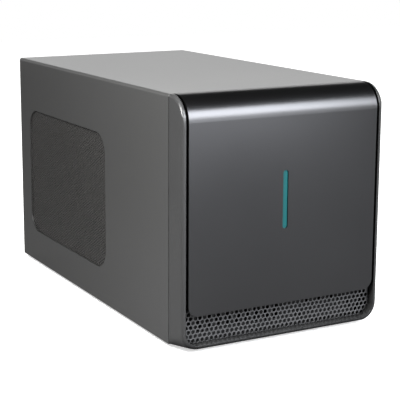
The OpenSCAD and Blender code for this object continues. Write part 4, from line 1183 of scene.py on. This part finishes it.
@dataclass
class Studio:
    """A pale floor, a white surround, soft lamps and the camera."""

    floor_half: float = 2.6
    floor_colour: str = "#f4f4f3"
    floor_as_lamp: str = "#747474"
    camera_place: Point = (-0.50721, -0.94258, 0.31677)
    azimuth_deg: float = -27.703
    pitch_deg: float = 10.972
    lens_mm: float = 106.951
    sensor_mm: float = 36.0
    shift: tuple[float, float] = (0.075, -0.075)
    clip: tuple[float, float] = (0.01, 60.0)
    lamps: tuple[Softbox, ...] = (
        Softbox("front_bank", (0.24, -0.86, 0.53), (0.0, -0.17, 0.2), 0.68, 0.4, 12.8, "#f6f9ff"),
        Softbox("left_bank", (-0.33, -0.33, 0.42), (-0.0925, -0.12, 0.16), 0.3, 0.25, 7.5),
        Softbox("front_card", (0.13, -0.62, 0.19), (-0.02, -0.17, 0.15), 0.34, 0.2, 0.6, "#f6f9ff"),
        Softbox("overhead", (0.2, 0.5, 2.2), (0.0, 0.1, 0.0), 1.8, 1.8, 42.0, in_gloss=False),
    )
    # The surround as a lamp, and what gloss sees of it: bright at the horizon, fading
    # upwards, and dimmer low down and to the left. Bands give from, to, and their levels.
    ambient: float = 0.36
    gloss_up: Band = (0.15, 0.42, 1.4, 0.04)
    gloss_low: Band = (0.06, 0.13, 0.6, 1.05)
    gloss_side: Band = (-0.5, 0.1, 0.3, 1.0)
    # How much white the camera sees added to the floor.
    floor_lift: float = 0.6

    def build(self) -> None:
        """Makes everything that isn't part of the case."""
        self.build_world()
        self.build_floor()
        for lamp in self.lamps:
            lamp.build()
        self.build_camera()
        bpy.context.scene.view_settings.view_transform = "Standard"

    def build_world(self) -> None:
        """White to the eye; to gloss a white horizon under a dim ceiling; grey as a lamp."""
        world = bpy.data.worlds.new("studio_surround")
        bpy.context.scene.world = world
        world.use_nodes = True
        tree = world.node_tree
        tree.nodes.clear()
        ray = add_node(tree, "ShaderNodeLightPath").outputs
        direction = add_node(tree, "ShaderNodeTexCoord").outputs["Generated"]
        axes = add_node(tree, "ShaderNodeSeparateXYZ", None, {0: direction}).outputs
        shine: float | bpy.types.NodeSocket = 1.0
        for axis, band, blend in (
            ("Z", self.gloss_low, "LINEAR"),
            ("X", self.gloss_side, "LINEAR"),
            ("Z", self.gloss_up, "SMOOTHSTEP"),
        ):
            part = add_node(
                tree,
                "ShaderNodeMapRange",
                {"interpolation_type": blend},
                {0: axes[axis], **dict(enumerate(band, 1))},
            ).outputs[0]
            shine = add_node(tree, "ShaderNodeMath", MULTIPLY, {0: part, 1: shine}).outputs[0]
        glossy = add_node(
            tree,
            "ShaderNodeMath",
            {"operation": "MAXIMUM"},
            {0: ray["Is Glossy Ray"], 1: ray["Is Transmission Ray"]},
        ).outputs[0]
        level = add_node(
            tree, "ShaderNodeMix", NUMBERS, {0: glossy, 2: self.ambient, 3: shine}
        ).outputs[0]
        level = add_node(
            tree, "ShaderNodeMix", NUMBERS, {0: ray["Is Camera Ray"], 2: level, 3: 1.0}
        ).outputs[0]
        background = add_node(
            tree, "ShaderNodeBackground", None, {"Color": (1, 1, 1, 1), "Strength": level}
        )
        add_node(tree, "ShaderNodeOutputWorld", None, {"Surface": background.outputs[0]})

    def build_floor(self) -> None:
        """A plain pale floor that keeps a soft shadow."""
        mesh = bpy.data.meshes.new("floor")
        h = self.floor_half
        mesh.from_pydata([(-h, -h, 0), (h, -h, 0), (h, h, 0), (-h, h, 0)], [], [(0, 1, 2, 3)])
        floor = bpy.data.objects.new("floor", mesh)
        bpy.context.scene.collection.objects.link(floor)
        material = bpy.data.materials.new("pale_floor")
        material.use_nodes = True
        tree = material.node_tree
        tree.nodes.clear()
        ray = add_node(tree, "ShaderNodeLightPath").outputs
        colour = add_node(
            tree,
            "ShaderNodeMix",
            COLOURS,
            {
                0: ray["Is Camera Ray"],
                6: linear(self.floor_as_lamp),
                7: linear(self.floor_colour),
            },
        ).outputs[2]
        diffuse = add_node(tree, "ShaderNodeBsdfDiffuse", None, {"Color": colour}).outputs[0]
        lift = add_node(
            tree, "ShaderNodeMath", MULTIPLY, {0: ray["Is Camera Ray"], 1: self.floor_lift}
        ).outputs[0]
        white = add_node(
            tree, "ShaderNodeEmission", None, {"Color": (1, 1, 1, 1), "Strength": lift}
        ).outputs[0]
        both = add_node(tree, "ShaderNodeAddShader", None, {0: diffuse, 1: white}).outputs[0]
        add_node(tree, "ShaderNodeOutputMaterial", None, {"Surface": both})
        mesh.materials.append(material)

    def build_camera(self) -> None:
        """The photograph's point of view, with depth of field off."""
        data = bpy.data.cameras.new("camera")
        data.lens, data.sensor_width = self.lens_mm, self.sensor_mm
        data.shift_x, data.shift_y = self.shift
        data.clip_start, data.clip_end = self.clip
        camera = bpy.data.objects.new("camera", data)
        camera.location = self.camera_place
        camera.rotation_euler = Euler(
            (math.radians(90 - self.pitch_deg), 0.0, math.radians(self.azimuth_deg)), "XYZ"
        )
        bpy.context.scene.collection.objects.link(camera)
        bpy.context.scene.camera = camera


def main() -> None:
    """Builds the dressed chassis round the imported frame."""
    logging.basicConfig(level=logging.INFO, format="%(name)s: %(message)s")
    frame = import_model()
    nodes = frame["nodes"]
    Studio().build()
    bench = Bench()
    Dressing().apply(bench, nodes)
    PerforatedSheets().build(bench)
    Screws().build(bench, nodes)
    Thumbscrews().build(bench)
    BoardParts().build(bench)


if __name__ == "__main__":
    main()
